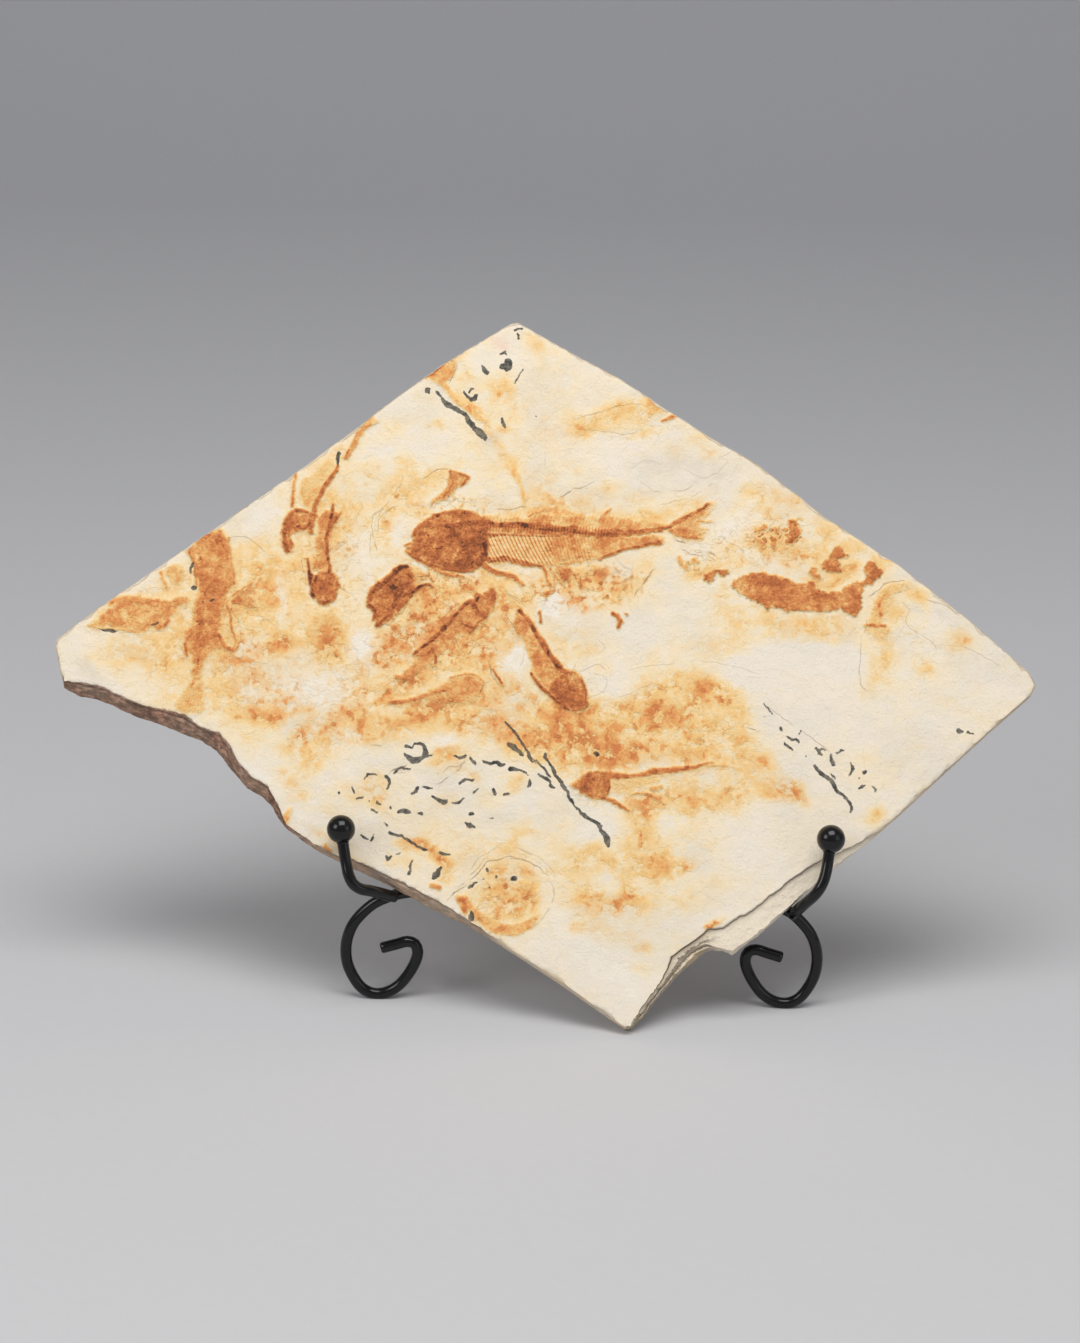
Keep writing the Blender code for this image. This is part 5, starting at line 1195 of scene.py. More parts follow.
def thread_marks(points):
    """Signed distance to the nearest hair line in its half widths, and how strong it is."""
    worn = smooth(-0.75, 0.1, clouds(points, 2.6, 45))
    points = frayed(points, "thread")
    gaps = np.full(len(points), FAR)
    strength = np.zeros(len(points))
    nearest = np.full(len(points), FAR)
    for width, most, route in THREADS:
        line = smooth_route([(u, v, width / 2) for u, v in route], 1.2)
        near, gap, side, half = beside(points, line, MARK_REACH)
        closer = gap < nearest[near]
        chosen = near[closer]
        nearest[chosen] = gap[closer]
        gaps[chosen] = np.clip(side[closer] * gap[closer] / half[closer], -FAR, FAR)
        strength[chosen] = most * worn[chosen] * (1 - smooth(0.6, 1.6, gap[closer]))
    return gaps, strength


def soot_depth(points):
    """How far the points lie inside the dendrites, in millimetres."""
    inside = np.full(len(points), -1.0)
    points = frayed(points, "soot")
    for route in SOOT:
        route = np.array(route if len(route) > 1 else route * 2, float)
        if len(route) > 2:
            route = smooth_route(route, 1.0)
        near, gap, _, width = beside(points, route, 2.0)
        inside[near] = np.maximum(inside[near], width * SOOT_SPREAD - gap)
    return np.maximum(inside, -1.0)


def comb_marks(points):
    """A number that grows by one from each fine line to the next, and their strength."""
    count = np.zeros(len(points))
    strength = np.zeros(len(points))
    u, v = points[:, 0], points[:, 1]
    for low, high, spacing, lean, bend, most in COMBS:
        down = high[1] - v
        inside = (
            smooth(low[0] - 0.8, low[0] + 0.8, u) * (1 - smooth(high[0] - 2.5, high[0] + 0.8, u))
            * smooth(low[1] - 0.5, low[1] + 0.7, v) * (1 - smooth(high[1] - 0.7, high[1] + 0.5, v))
        )
        stronger = most * inside > strength
        steps = (u + lean * down - bend * down ** 2 - low[0]) / spacing
        count[stronger] = steps[stronger]
        strength[stronger] = (most * inside)[stronger]
    for centre, spokes, radii, angles, most in FANS:
        offset = points - centre
        radius = np.hypot(offset[:, 0], offset[:, 1])
        angle = np.degrees(np.arctan2(offset[:, 1], offset[:, 0]))
        inside = (
            smooth(radii[0] * 0.5, radii[0], radius) * (1 - smooth(radii[1] * 0.7, radii[1], radius))
            * smooth(angles[0] - 3, angles[0] + 3, angle) * (1 - smooth(angles[1] - 3, angles[1] + 3, angle))
        )
        stronger = most * inside > strength
        count[stronger] = (np.radians(angle) * spokes)[stronger]
        strength[stronger] = (most * inside)[stronger]
    return count, strength


# ---------------------------------------------------------------- the slab

def edge_controls():
    """The edge's given points: back bed, front bed and kind of edge (sawn, ledge or flare)."""
    middle = np.array(SLAB_MIDDLE)
    controls = []
    for stretch, kind in (
        (LEDGE_TO_RIGHT, 1), (SAWN_RIGHT, 0), (SAWN_LEFT, 0), (FLARE_AT_LEFT, 2), (SAWN_TO_FOOT, 0),
    ):
        for point in stretch:
            if kind:
                back, front = np.array(point[0]), np.array(point[1])
            else:
                back = np.array(point)
                inward = middle - back
                front = back + inward / np.linalg.norm(inward) * SAWN_BEVEL
            controls.append((*back, *front, *(float(kind == other) for other in range(3))))
    return np.array(controls)


def edge_line():
    """The controls with points added between them, closer where the stone is broken."""
    controls = edge_controls()
    rows = []
    for start, end in zip(controls, np.roll(controls, -1, 0)):
        broken = start[4] < 1 or end[4] < 1
        length = np.linalg.norm(end[:2] - start[:2])
        count = max(1, round(length / (BROKEN_STEP if broken else SAWN_STEP)))
        for index in range(count):
            rows.append(start + (end - start) * index / count)
    return np.array(rows)


def edge_rings():
    """For each depth of the edge one closed loop of (u, v), and the kinds of edge along it."""
    line = edge_line()
    back, front, kinds = line[:, :2], line[:, 2:4], line[:, 4:]
    ahead = np.roll(back, -2, 0) - np.roll(back, 2, 0)
    ahead /= np.linalg.norm(ahead, axis=1)[:, None]
    outward = np.column_stack([ahead[:, 1], -ahead[:, 0]])
    travelled = np.cumsum(np.linalg.norm(np.diff(back, axis=0, prepend=back[-1:]), axis=1))
    sawn, ledge, flare = kinds.T
    toe = smooth(*TOE_START, back[:, 0])
    rings = []
    for depth in EDGE_DEPTHS:
        reach = (
            sawn * np.interp(depth, *SAWN_EDGE) + flare * np.interp(depth, *FLARE_EDGE)
            + ledge * (np.interp(depth, *LEDGE_EDGE) * (1 - toe) + np.interp(depth, *TOE_EDGE) * toe)
        )
        bed = sum(depth > joint for joint in BED_JOINTS)
        run = np.column_stack([travelled, np.full(len(travelled), bed * 37.0)])
        torn = layered(run, TORN_EDGE) + layered(run + 9.0, TORN_GRAIN)
        rough = np.column_stack([travelled, np.full(len(travelled), depth * 2.2)])
        lumps = layered(rough, FLARE_LUMPS)
        saw = layered(run, SAW_MARKS)
        chip = 0.9 * smooth(0.1, 0.75, clouds(run, 3.4, 46))
        chip += 0.4 * smooth(0.3, 0.8, clouds(run, 1.3, 47))
        chip *= 1 - smooth(0.0, 1.1, depth)
        shift = sawn * (saw - chip * 0.8) + ledge * torn + flare * (0.5 * torn + lumps)
        shift *= 1 - 0.5 * smooth(5.0, 6.0, depth)
        ring = front + (back - front) * reach[:, None] + outward * np.minimum(shift, MOST_OUTWARD)[:, None]
        rings.append(np.clip(ring, back.min(0), back.max(0)))
    return rings, kinds


def crossings(loop, v):
    """Where a row at height v enters and leaves the loop, in order of u."""
    start, end = loop, np.roll(loop, -1, 0)
    crossed = (start[:, 1] > v) != (end[:, 1] > v)
    share = (v - start[crossed, 1]) / (end[crossed, 1] - start[crossed, 1])
    return np.sort(start[crossed, 0] + share * (end[crossed, 0] - start[crossed, 0]))


def points_inside(loop, pitch, margin):
    """A triangular grid of points inside the loop: their places and their row and column."""
    low, high = loop.min(0), loop.max(0)
    rise = pitch * math.sqrt(3) / 2
    places, rows, columns = [], [], []
    for row in range(int((high[1] - low[1]) / rise) + 1):
        v = low[1] + row * rise
        across = low[0] + pitch * (np.arange(int((high[0] - low[0]) / pitch) + 2) + 0.5 * (row % 2))
        ends = crossings(loop, v)
        kept = np.zeros(len(across), bool)
        for start, end in zip(ends[::2], ends[1::2]):
            kept |= (across > start + margin) & (across < end - margin)
        places.append(np.column_stack([across[kept], np.full(kept.sum(), v)]))
        rows.append(np.full(kept.sum(), row))
        columns.append(np.flatnonzero(kept))
    return np.vstack(places), np.concatenate(rows), np.concatenate(columns)


def near_fine_marks(points):
    """Which points are close to a thin bone, a hair line or a dendrite."""
    near_mark = soot_depth(points) > -0.55
    thin = [route for _, route in BONES if max(width for _, _, width in route) < 0.9]
    thin += [[(u, v, width / 2) for u, v in route] for width, _, route in THREADS]
    for route in thin:
        near, gap, _, width = beside(points, smooth_route(route, 1.5), 1.2)
        near_mark[near[gap < width + 0.45]] = True
    return near_mark


def in_boxes(points, boxes):
    """Which points lie in any of the boxes."""
    return sum(((points > low) & (points < high)).all(1) for low, high in boxes).astype(bool)


def face_points(loop):
    """Points over the front face, close together where its marks are fine."""
    places, rows, columns = points_inside(loop, FINE_PITCH, 0.5)
    middle_grid = (rows % 2 == 0) & ((columns + rows // 2 % 2) % 2 == 0)
    wide_grid = (rows % 4 == 0) & ((columns + 2 * (rows // 4 % 2)) % 4 == 0)
    fine = in_boxes(places, [LARGE_FISH_BOX]) | near_fine_marks(places)
    plain = in_boxes(places, PLAIN_BOXES)
    kept = np.where(fine, True, np.where(plain, wide_grid, middle_grid))
    jitter = np.random.default_rng(5).uniform(-0.05, 0.05, places.shape)
    return (places + jitter)[kept]


def triangles_between(loop, inner):
    """Triangles that fill the loop through the inner points, as rows of three indices."""
    flat = [Vector(point) for point in np.vstack([loop, inner])]
    _, _, faces, sources, _, _ = delaunay_2d_cdt(flat, [], [list(range(len(loop)))], 1, 1e-6)
    return np.array([[sources[corner][0] for corner in face] for face in faces])


def slab_shape():
    """Points (u, v, w), triangles, and the depth, kinds of edge and back mark of each point."""
    rings, kinds = edge_rings()
    count = len(rings[0])
    face = face_points(rings[0])
    back_places, _, _ = points_inside(rings[-1], BACK_PITCH, 1.2)
    flat = np.vstack([*rings, face, back_places])
    edge_end = count * len(rings)
    face_end = edge_end + len(face)
    depth = np.zeros(len(flat))
    depth[:edge_end] = np.repeat(EDGE_DEPTHS, count)
    depth[face_end:] = SLAB_THICKNESS
    kind_marks = np.zeros((len(flat), 3))
    kind_marks[:edge_end] = np.tile(kinds, (len(rings), 1))
    on_back = np.zeros(len(flat))
    on_back[face_end:] = 1.0
    triangles = []
    index = np.arange(count)
    following = (index + 1) % count
    for ring in range(len(rings) - 1):
        upper, lower = ring * count, (ring + 1) * count
        triangles.append(np.column_stack([upper + index, lower + index, lower + following]))
        triangles.append(np.column_stack([upper + index, lower + following, upper + following]))
    front = triangles_between(rings[0], face)
    front[front >= count] += edge_end - count
    triangles.append(front)
    rear = triangles_between(rings[-1], back_places)[:, ::-1]
    rear_index = np.where(rear < count, rear + edge_end - count, rear - count + face_end)
    triangles.append(rear_index)
    return flat, np.vstack(triangles), depth, kind_marks, on_back, (edge_end, face_end, count)


def height_of_marks(points, marks):
    """How far the stone stands out of the plane of its front bed, in millimetres."""
    plain = layered(points, ROLLING) + layered(points, GRAIN) - FACE_SINK
    lines = 1 - np.abs(2 * (marks["comb"] % 1) - 1)
    body = marks["body"] * (0.18 + layered(points, BODY_LUMPS))
    body += 0.1 * marks["comb_mask"] * (1 - lines)
    bone = marks["bone"] * (0.14 + layered(points, BONE_LUMPS))
    stain = marks["iron"] * layered(points, STAIN_LUMPS)
    soot = 0.05 * smooth(0.0, 0.3, marks["soot"])
    crack = -0.06 * marks["thread_near"] * (1 - smooth(0.7, 1.8, np.abs(marks["thread_gap"])))
    return np.minimum(plain + body + bone + stain + soot + crack, 0.0)


def marks_at(points):
    gaps, threads = thread_marks(points)
    count, strength = comb_marks(points)
    return {
        "body": patch_strength(points),
        "bone": bone_strength(points),
        "iron": blob_strength(points, STAINS),
        "cloud": blob_sum(points, CLOUDS),
        "pink": blob_strength(points, BLUSHES),
        "crumb": blob_strength(points, CRUMBS),
        "thread_gap": gaps,
        "thread_near": threads,
        "soot": soot_depth(points),
        "comb": count,
        "comb_mask": strength,
    }


def build_slab():
    flat, triangles, depth, kinds, on_back, (edge_end, face_end, count) = slab_shape()
    marks = marks_at(flat)
    _, gap, _, _ = beside(flat[:face_end], with_width(flat[:count]), 1e4)
    inner = np.zeros(len(flat))
    inner[edge_end:face_end] = smooth(0.0, 2.2, gap[edge_end:face_end])
    height = -depth * (1 - FACE_SINK / SLAB_THICKNESS) - FACE_SINK
    height += (height_of_marks(flat, marks) + FACE_SINK) * inner
    height += on_back * 0.16 * (1 + clouds(flat, 17.0, 71)) * 0.9
    mesh = bpy.data.meshes.new("fossil_slab")
    mesh.from_pydata(np.column_stack([flat, height]) * MM, [], triangles.tolist())
    for name, values in marks.items():
        add_layer(mesh, name, values)
    add_layer(mesh, "depth", depth)
    add_layer(mesh, "ledge", kinds[:, 1])
    add_layer(mesh, "flare", kinds[:, 2] * (1 - 0.42 * smooth(-104.0, -94.0, flat[:, 0])))
    add_layer(mesh, "toe", smooth(*TOE_START, flat[:, 0]) * kinds[:, 1])
    add_layer(mesh, "back", on_back)
    mesh.shade_smooth()
    mesh.set_sharp_from_angle(angle=math.radians(50))
    corner = Matrix.Translation((on_slab(0, 0, 0) + FRAME_OFFSET) * MM)
    mesh.transform(corner @ Matrix.Rotation(math.pi / 2 - SLAB_LEAN, 4, "X"))
    add_piece(bpy.data.objects.new("fossil_slab", mesh), shale(), ("slab",))


def add_layer(mesh, name, values):
    layer = mesh.attributes.new(name, "FLOAT", "POINT")
    layer.data.foreach_set("value", values.astype(np.float32))


def add_piece(piece, material, nodes):
    """Puts a finished object into the scene in place of CAD nodes."""
    piece.data.materials.append(material)
    bpy.context.scene.collection.objects.link(piece)
    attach(piece, "root")
    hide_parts(*nodes)


# ---------------------------------------------------------------- finishes

# The colour of the bed by how much iron is in it: (amount, red, green, blue).
IRON_COLOURS = (
    (0.0, 241, 230, 213), (0.1, 246, 227, 192), (0.25, 247, 213, 155), (0.4, 242, 196, 126),
    (0.52, 235, 167, 98), (0.65, 220, 140, 79), (0.78, 204, 119, 64), (0.9, 184, 104, 57),
    (1.02, 158, 86, 46), (1.25, 92, 52, 34),
)
MOST_IRON = 1.25


SHALE_COLOURS = {
    name: paint(*levels) for name, levels in {
        "drab bed": (228, 219, 203), "white bed": (245, 235, 219), "grey bed and painted shade": (221, 209, 191),
        "pink bed": (240, 200, 180), "crease": (168, 108, 66), "hair line": (142, 108, 78),
        "dark soot": (50, 51, 49), "pale soot": (84, 81, 74), "dark side": (196, 178, 154),
        "pale side": (246, 232, 208), "golden side": (246, 216, 172), "bed line": (104, 92, 80),
        # toe: the pale lower bed, lifted towards white as painted light to make up for the dim light on its
        # down-turned faces
        "toe": (250, 240, 222), "dark flare": (104, 70, 54), "pale flare": (214, 162, 136),
        # painted undercut shadow: dark brown for the shadow under the overhanging front bed
        "painted_undercut_shadow": (72, 56, 46), "shelf": (236, 222, 198), "rear": (232, 220, 198),
        "rear stain": (206, 152, 96),
    }.items()
}


class Stone:
    """The noises and marks that the stone's colour and relief share."""

    def __init__(self, finish):
        self.place = place = finish.laid_flat(finish.place())
        self.mottle = finish.noise(place, 5.0, 3.0, 0.5).over(0.34, 0.66)
        self.blotch = finish.noise(place, 14.0, 2.0).over(0.35, 0.65)
        self.flake = finish.noise(place, 1.6, 3.0, 0.6).over(0.34, 0.66)
        self.speck = finish.noise(place, 0.5, 2.0)
        self.chips = finish.noise(place, 4.2, 4.0, 0.62).over(0.52, 0.6)
        self.spots = finish.noise(place, 3.0, 3.0, 0.5).over(0.53, 0.62)
        self.grit = finish.noise(place, 1.0, 4.0, 0.7) - 0.5
        self.creases = 1 - (finish.noise(place, 6.0, 3.0, 0.5) - 0.5).size().over(0.003, 0.016)
        self.lumps = finish.noise(
            finish.stretched(place, (0.7, 0.7, 1.0)), 1.8, 4.0, 0.65
        ).over(0.32, 0.68)
        self.body = finish.attribute("body")
        self.bone = finish.attribute("bone")
        self.rust = self.body.largest(self.bone)
        self.cloud = finish.attribute("cloud")
        self.crumb = finish.attribute("crumb")
        self.crumbs = finish.noise(place, 1.7, 2.0, 0.5).over(0.54, 0.64) * self.crumb
        tint = (self.blotch * 0.04 + self.mottle * 0.035) * (1 - self.cloud.size())
        worn = self.mottle * 0.26 + self.blotch * 0.14 + self.spots * 0.28 + 0.44
        worn = worn * (1 - self.chips * 0.5)
        stain = finish.attribute("iron") * (worn + self.grit * 0.34)
        self.iron = (stain + tint + self.crumbs * 0.28).within(0, 0.66)
        self.busy = (self.crumb * 0.5 + self.iron * 0.35) * (self.spots * 0.6 + 0.4)
        self.depth = finish.attribute("depth")
        self.flare = finish.attribute("flare")
        self.ledge = finish.attribute("ledge")
        self.toe = finish.attribute("toe")
        self.back = finish.attribute("back")
        self.in_side = self.depth.over(0.06, 0.34) * (1 - self.back)
        thin_beds = (self.depth * 2.6 + self.grit * 0.9).wave().over(0.55, 0.95)
        self.thin_beds = thin_beds * self.ledge * (1 - self.toe)


def fossil_iron(finish, stone):
    """How much iron is in the bed: the stains, and the fossils with their fine lines."""
    comb_mask = finish.attribute("comb_mask")
    lines = (finish.attribute("comb") + (stone.speck - 0.5) * 0.35).wave().over(0.42, 0.95)
    flesh = stone.flake * 0.24 + stone.grit * 0.62 - stone.chips * 0.14 + stone.crumbs * 0.16
    flesh = stone.body * (flesh + (stone.mottle - 0.5) * 0.34 + 0.82)
    bones = stone.flake * 0.26 + stone.grit * 0.6 + (stone.spots - 0.3) * 0.3 + 0.86
    total = stone.iron.largest(flesh.largest(stone.bone * bones)) + stone.iron * 0.08
    total = total + lines * comb_mask * 0.38 - comb_mask * 0.12
    return total + (stone.speck - 0.5) * 0.06 + stone.grit * 0.1


def bed_colour(finish, stone):
    """The colour of the front face."""
    stops = [(amount / MOST_IRON, paint(*colour)) for amount, *colour in IRON_COLOURS]
    colour = finish.ramp(fossil_iron(finish, stone) * (1 / MOST_IRON), stops)
    bare = 1 - (stone.rust + stone.iron * 0.9).over(0.1, 0.5)
    drab = finish.noise(stone.place, 22.0, 3.0).over(0.48, 0.66)
    white = (stone.cloud * (stone.mottle * 0.7 + 0.6) * bare).within(0, 0.92)
    # greyer where the clouds are negative: partly grey bed, partly painted shade of the rolling face
    grey = (stone.cloud * (stone.mottle * -0.7 - 0.5) * bare).within(0, 0.8)
    hair = 1 - finish.attribute("thread_gap").size().over(0.5, 1.5)
    hair = hair * finish.attribute("thread_near") * (stone.speck * 0.8 + 0.45)
    soot = finish.attribute("soot") + (finish.noise(stone.place, 0.5, 2.0) - 0.5) * 0.45
    for factor, name in (
        (drab * bare * 0.45, "drab bed"),
        (white, "white bed"),
        (grey, "grey bed and painted shade"),
        (finish.attribute("pink") * bare * 0.55, "pink bed"),
        (stone.creases * stone.busy.within(0, 0.6), "crease"),
        (hair.within(0, 1), "hair line"),
    ):
        colour = finish.mix(factor, colour, SHALE_COLOURS[name])
    soot_colour = finish.mix(stone.mottle, SHALE_COLOURS["dark soot"], SHALE_COLOURS["pale soot"])
    return finish.mix(soot.over(-0.1, 0.14) * (stone.flake * 0.2 + 0.8), colour, soot_colour)


def side_colour(finish, stone):
    """The colour of the sawn, broken and stepped edges."""
    beds = finish.noise(finish.stretched(stone.place, (0.12, 0.12, 1.6)), 1.0, 4.0, 0.6)
    # painted shadow: a dark line about 0.9 mm into the edge, under the overhanging front bed, full on the
    # ledge and half as strong on the flare
    painted_undercut_shadow = 1 - (stone.depth - 0.9).size().over(0.08, 0.5)
    normal = finish.laid_flat(finish.node("ShaderNodeTexCoord", output="Normal"))
    upward = finish.node("ShaderNodeSeparateXYZ", None, [normal], 2)
    shelf = upward.over(0.6, 0.85) * (1 - stone.flare)
    mauve = finish.mix(stone.lumps, SHALE_COLOURS["dark flare"], SHALE_COLOURS["pale flare"])
    colour = finish.mix(beds.over(0.3, 0.7), SHALE_COLOURS["dark side"], SHALE_COLOURS["pale side"])
    for factor, paint_over in (
        (stone.mottle * 0.5, SHALE_COLOURS["golden side"]),
        (stone.thin_beds * 0.85, SHALE_COLOURS["bed line"]),
        # the toe colour is partly the pale lower bed and partly painted light for its dimly lit faces
        (stone.toe * 0.7, SHALE_COLOURS["toe"]),
        (stone.flare * (stone.blotch * 0.2 + 0.75), mauve),
        (painted_undercut_shadow * (stone.ledge + stone.flare * 0.5).within(0, 1) * 0.92, SHALE_COLOURS["painted_undercut_shadow"]),
        (shelf * (0.45 - stone.thin_beds * 0.4), SHALE_COLOURS["shelf"]),
    ):
        colour = finish.mix(factor, colour, paint_over)
    return colour


def stone_relief(finish, stone):
    """The height of the grain, the crust on the fossils and the beds in the edge."""
    place, in_side = stone.place, stone.in_side
    grain = finish.noise(place, 0.8, 4.0, 0.65) * 0.8 + finish.noise(place, 4.0, 3.0) * 1.3
    grain = grain - stone.creases * 0.13
    crust = stone.flake * (stone.body + stone.crumbs).within(0, 1) * 0.9 + stone.rust * 1.6
    crust = crust - stone.chips * stone.iron * 1.6 - stone.creases * stone.busy * 0.8
    layers = finish.noise(finish.stretched(place, (0.2, 0.2, 1.6)), 0.8, 3.0)
    layers = (layers - stone.thin_beds * 0.3) * in_side * 3.0
    return grain + crust + layers + stone.lumps * stone.flare * in_side * 3.0


def shale():
    finish = Finish("shale")
    stone = Stone(finish)
    rear_stain = stone.blotch * stone.mottle
    rear = finish.mix(rear_stain, SHALE_COLOURS["rear"], SHALE_COLOURS["rear stain"])
    base = finish.mix(stone.in_side, bed_colour(finish, stone), side_colour(finish, stone))
    finish.set(
        Base_Color=finish.mix(stone.back, base, rear),
        Roughness=0.8 + stone.speck * 0.14,
        Normal=finish.bump(stone_relief(finish, stone), 0.4, 0.9),
    )
    return finish.material


def black_enamel():
    finish = Finish("black_enamel", Specular_IOR_Level=0.32, Coat_Weight=0.12, Coat_Roughness=0.05)
    place = finish.place()
    orange_peel = finish.noise(place, 1.8, 2.0)
    dust = finish.noise(place, 0.5, 3.0).over(0.56, 0.8)
    finish.set(
        Base_Color=finish.mix(dust * 0.35, (0.004, 0.004, 0.0045, 1.0), (0.016, 0.0155, 0.015, 1.0)),
        Roughness=0.14 + dust * 0.14 + orange_peel * 0.05,
        Normal=finish.bump(orange_peel, 0.03, 0.35),
    )
    return finish.material


def plain_paper(name, colour):
    """The plain surface of the floor and backdrop."""
    finish = Finish(name, Roughness=0.9)
    grain = finish.noise(finish.place(), 4.0, 2.0)
    finish.set(Base_Color=finish.mix(grain, paint(*colour), paint(*(level - 3 for level in colour))))
    return finish.material


# ---------------------------------------------------------------- the stand

TUBE_SIDES = 24
TUBE_STEP = 1.1
TUBE_BEVEL = 0.35
BALL_SIDES = 36
BALL_RINGS = 28


def on_slab(u, v, w):
    """The place in the stand's frame, in millimetres, of a point of the slab's frame."""
    lean_sin = math.sin(SLAB_LEAN)
    lean_cos = math.cos(SLAB_LEAN)
    return Vector((u, v * lean_sin - w * lean_cos, (SLAB_THICKNESS + w) * lean_sin + v * lean_cos))


def tube(route):
    """Points and faces of a round rod along the route, blunt and slightly bevelled at both ends."""
    points = [Vector(point) for point in smooth_route(route, TUBE_STEP)]
    aheads = [(after - before).normalized() for before, after in zip(points, points[2:])]
    aheads = [(points[1] - points[0]).normalized(), *aheads, (points[-1] - points[-2]).normalized()]
    first, last = aheads[0], aheads[-1]
    stations = [
        (points[0], ROD_RADIUS - TUBE_BEVEL, first),
        (points[0] + first * TUBE_BEVEL, ROD_RADIUS, first),
        *((point, ROD_RADIUS, ahead) for point, ahead in zip(points[1:-1], aheads[1:-1])),
        (points[-1] - last * TUBE_BEVEL, ROD_RADIUS, last),
        (points[-1], ROD_RADIUS - TUBE_BEVEL, last),
    ]
    across = stations[0][2].orthogonal().normalized()
    vertices = []
    for point, radius, ahead in stations:
        across = (across - ahead * across.dot(ahead)).normalized()
        other = ahead.cross(across)
        for side in range(TUBE_SIDES):
            angle = 2 * math.pi * side / TUBE_SIDES
            vertices.append(point + (across * math.cos(angle) + other * math.sin(angle)) * radius)
    return vertices, ring_faces(len(stations), TUBE_SIDES)


def ring_faces(rings, sides):
    """Faces of a tube whose rings of vertices follow each other, closed at both ends."""
    faces = [tuple(reversed(range(sides)))]
    for ring in range(rings - 1):
        for side in range(sides):
            following = (side + 1) % sides
            low, high = ring * sides, (ring + 1) * sides
            faces.append((low + side, low + following, high + following, high + side))
    faces.append(tuple(range((rings - 1) * sides, rings * sides)))
    return faces


def turned(profile, base, axis, sides):
    """Points and faces of a solid turned about an axis: the profile gives (along, radius)."""
    across = axis.orthogonal().normalized()
    other = axis.cross(across)
    vertices = []
    for along, radius in profile:
        for side in range(sides):
            angle = 2 * math.pi * side / sides
            outward = across * math.cos(angle) + other * math.sin(angle)
            vertices.append(base + axis * along + outward * radius)
    return vertices, ring_faces(len(profile), sides)


def add_stand_piece(name, shapes, nodes, material):
    """One object out of several closed shapes given in millimetres in the stand's frame."""
    vertices, faces = [], []
    for shape_vertices, shape_faces in shapes:
        first = len(vertices)
        vertices += [
            (Vector((point.x, point.y, max(point.z, 0.0))) + FRAME_OFFSET) * MM for point in shape_vertices
        ]
        faces += [tuple(first + corner for corner in face) for face in shape_faces]
    mesh = bpy.data.meshes.new(name)
    mesh.from_pydata(vertices, [], faces)
    mesh.shade_smooth()
    mesh.set_sharp_from_angle(angle=math.radians(48))
    add_piece(bpy.data.objects.new(name, mesh), material, nodes)


def build_stand():
    enamel = black_enamel()
    for side, direction in (("left", -1), ("right", 1)):
        route = [(STAND_CENTRE + direction * out, SCROLL_DEPTH, height) for out, height in SCROLL]
        route += [on_slab(STAND_CENTRE + direction * out, v, UPRIGHT_W) for out, v in UPRIGHT]
        add_stand_piece(f"{side}_scroll_foot", [tube(route)], (f"{side}_scroll_leg",), enamel)
        hook = [on_slab(*point) for point in HOOKS[side]]
        add_stand_piece(f"{side}_hook_rod", [tube(hook)], (f"{side}_hook",), enamel)
        add_stand_piece(f"{side}_end_ball", [ball(side)], (f"{side}_ball",), enamel)
    rear = [on_slab(STAND_CENTRE, v, w) for v, w in REAR_LEG_ON_UPRIGHTS]
    rear += [Vector((STAND_CENTRE, y, z)) for y, z in REAR_LEG_DOWN]
    add_stand_piece("rear_leg_rod", [tube(rear)], ("rear_leg",), enamel)


def ball(side):
    """The ball on a hook's end, with a short neck where the rod goes in."""
    centre = on_slab(*BALLS[side])
    hook_end = on_slab(*HOOKS[side][-1])
    before_end = on_slab(*HOOKS[side][-2])
    axis = (hook_end - before_end).normalized()
    profile = [(-BALL_RADIUS * 0.98, ROD_RADIUS + 0.15), (-BALL_RADIUS * 0.93, ROD_RADIUS + 0.22)]
    for step in range(3, BALL_RINGS):
        angle = math.pi * step / BALL_RINGS
        profile.append((-BALL_RADIUS * math.cos(angle), BALL_RADIUS * math.sin(angle)))
    profile.append((BALL_RADIUS, 0.05))
    return turned(profile, centre, axis, BALL_SIDES)


# ---------------------------------------------------------------- the surroundings

CAMERA_PLACE = (-0.00165, -1.2232, 0.4801)
CAMERA_RIGHT = (0.99972, 0.00708, 0.02247)
CAMERA_UP = (-0.02356, 0.30062, 0.95344)
LENS = 111.69
SENSOR_WIDTH = 36.0
FLOOR_FRONT = -3.0
FLOOR_BACK = 1.2
FLOOR_HALF_WIDTH = 4.0
SWEEP_RADIUS = 0.9
SWEEP_STEPS = 12
BACKDROP_TOP = 3.4
LIGHT_TARGET = (0.0, 0.0, 0.08)


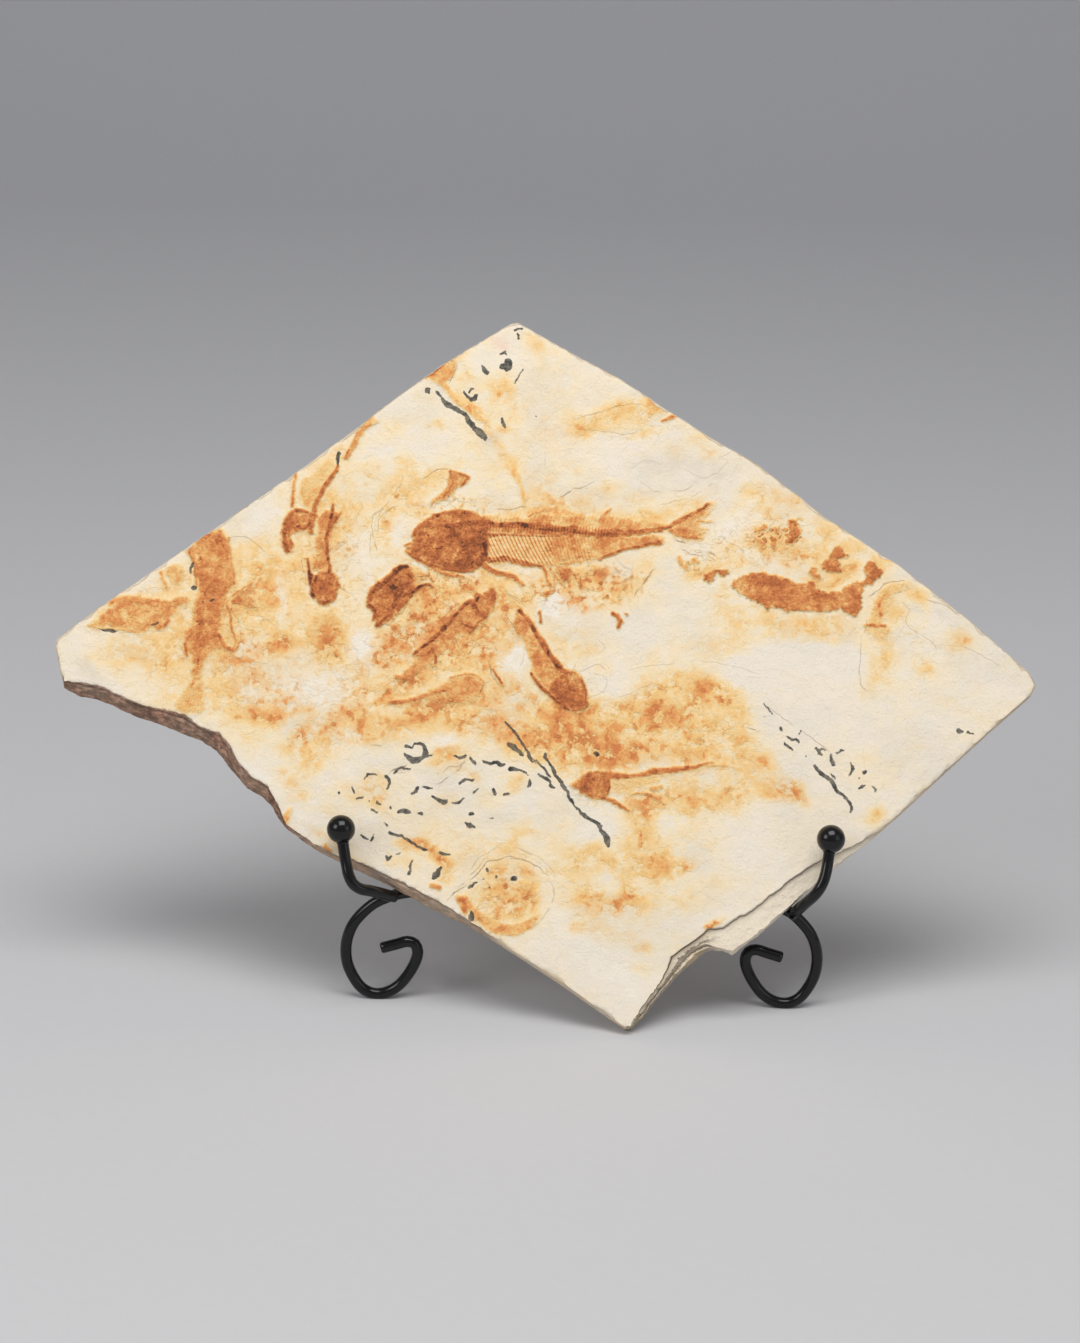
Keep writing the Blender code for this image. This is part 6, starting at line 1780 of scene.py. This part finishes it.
def build_stage():
    """A pale floor that sweeps up into a plain backdrop."""
    profile = [(FLOOR_FRONT, 0.0), (FLOOR_BACK, 0.0)]
    for step in range(1, SWEEP_STEPS + 1):
        angle = math.pi / 2 * step / SWEEP_STEPS
        rise = SWEEP_RADIUS * (1 - math.cos(angle))
        profile.append((FLOOR_BACK + SWEEP_RADIUS * math.sin(angle), rise))
    profile.append((FLOOR_BACK + SWEEP_RADIUS, BACKDROP_TOP))
    vertices = [(x, y, z) for y, z in profile for x in (-FLOOR_HALF_WIDTH, FLOOR_HALF_WIDTH)]
    faces = [(2 * row, 2 * row + 1, 2 * row + 3, 2 * row + 2) for row in range(len(profile) - 1)]
    mesh = bpy.data.meshes.new("studio_floor")
    mesh.from_pydata(vertices, [], faces)
    mesh.materials.append(plain_paper("pale_floor", (204, 204, 206)))
    mesh.shade_smooth()
    floor = bpy.data.objects.new("studio_floor", mesh)
    bpy.context.scene.collection.objects.link(floor)


def add_softbox(name, place, width, height, watts, colour=(1.0, 1.0, 1.0)):
    """A rectangular lamp that faces the object."""
    light = bpy.data.lights.new(name, "AREA")
    light.shape = "RECTANGLE"
    light.size = width
    light.size_y = height
    light.energy = watts
    light.color = colour
    lamp = bpy.data.objects.new(name, light)
    lamp.location = place
    lamp.rotation_euler = (Vector(LIGHT_TARGET) - Vector(place)).to_track_quat("-Z", "Y").to_euler()
    bpy.context.scene.collection.objects.link(lamp)


def build_lights():
    bpy.context.scene.view_settings.view_transform = "Standard"
    add_softbox("overhead_softbox", (0.1, -0.5, 1.35), 1.0, 0.8, 12.6, (1.0, 0.985, 0.96))
    add_softbox("left_softbox", (-1.15, -0.85, 0.85), 0.7, 0.7, 6.0)
    add_softbox("right_fill", (1.3, -0.9, 0.6), 0.9, 0.9, 2.0)
    world = bpy.data.worlds.new("studio_air")
    world.use_nodes = True
    sky = world.node_tree.nodes["Background"]
    sky.inputs["Color"].default_value = (0.93, 0.95, 1.0, 1.0)
    sky.inputs["Strength"].default_value = 0.3
    bpy.context.scene.world = world


def build_camera():
    camera = bpy.data.cameras.new("studio_camera")
    camera.lens = LENS
    camera.sensor_width = SENSOR_WIDTH
    camera.clip_start = 0.05
    camera.clip_end = 20.0
    viewer = bpy.data.objects.new("studio_camera", camera)
    right, up = Vector(CAMERA_RIGHT), Vector(CAMERA_UP)
    turn = Matrix((right, up, right.cross(up))).transposed().to_4x4()
    viewer.matrix_world = Matrix.Translation(CAMERA_PLACE) @ turn
    bpy.context.scene.collection.objects.link(viewer)
    bpy.context.scene.camera = viewer


def main():
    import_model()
    build_slab()
    build_stand()
    build_stage()
    build_lights()
    build_camera()
    bpy.context.view_layer.update()


main()
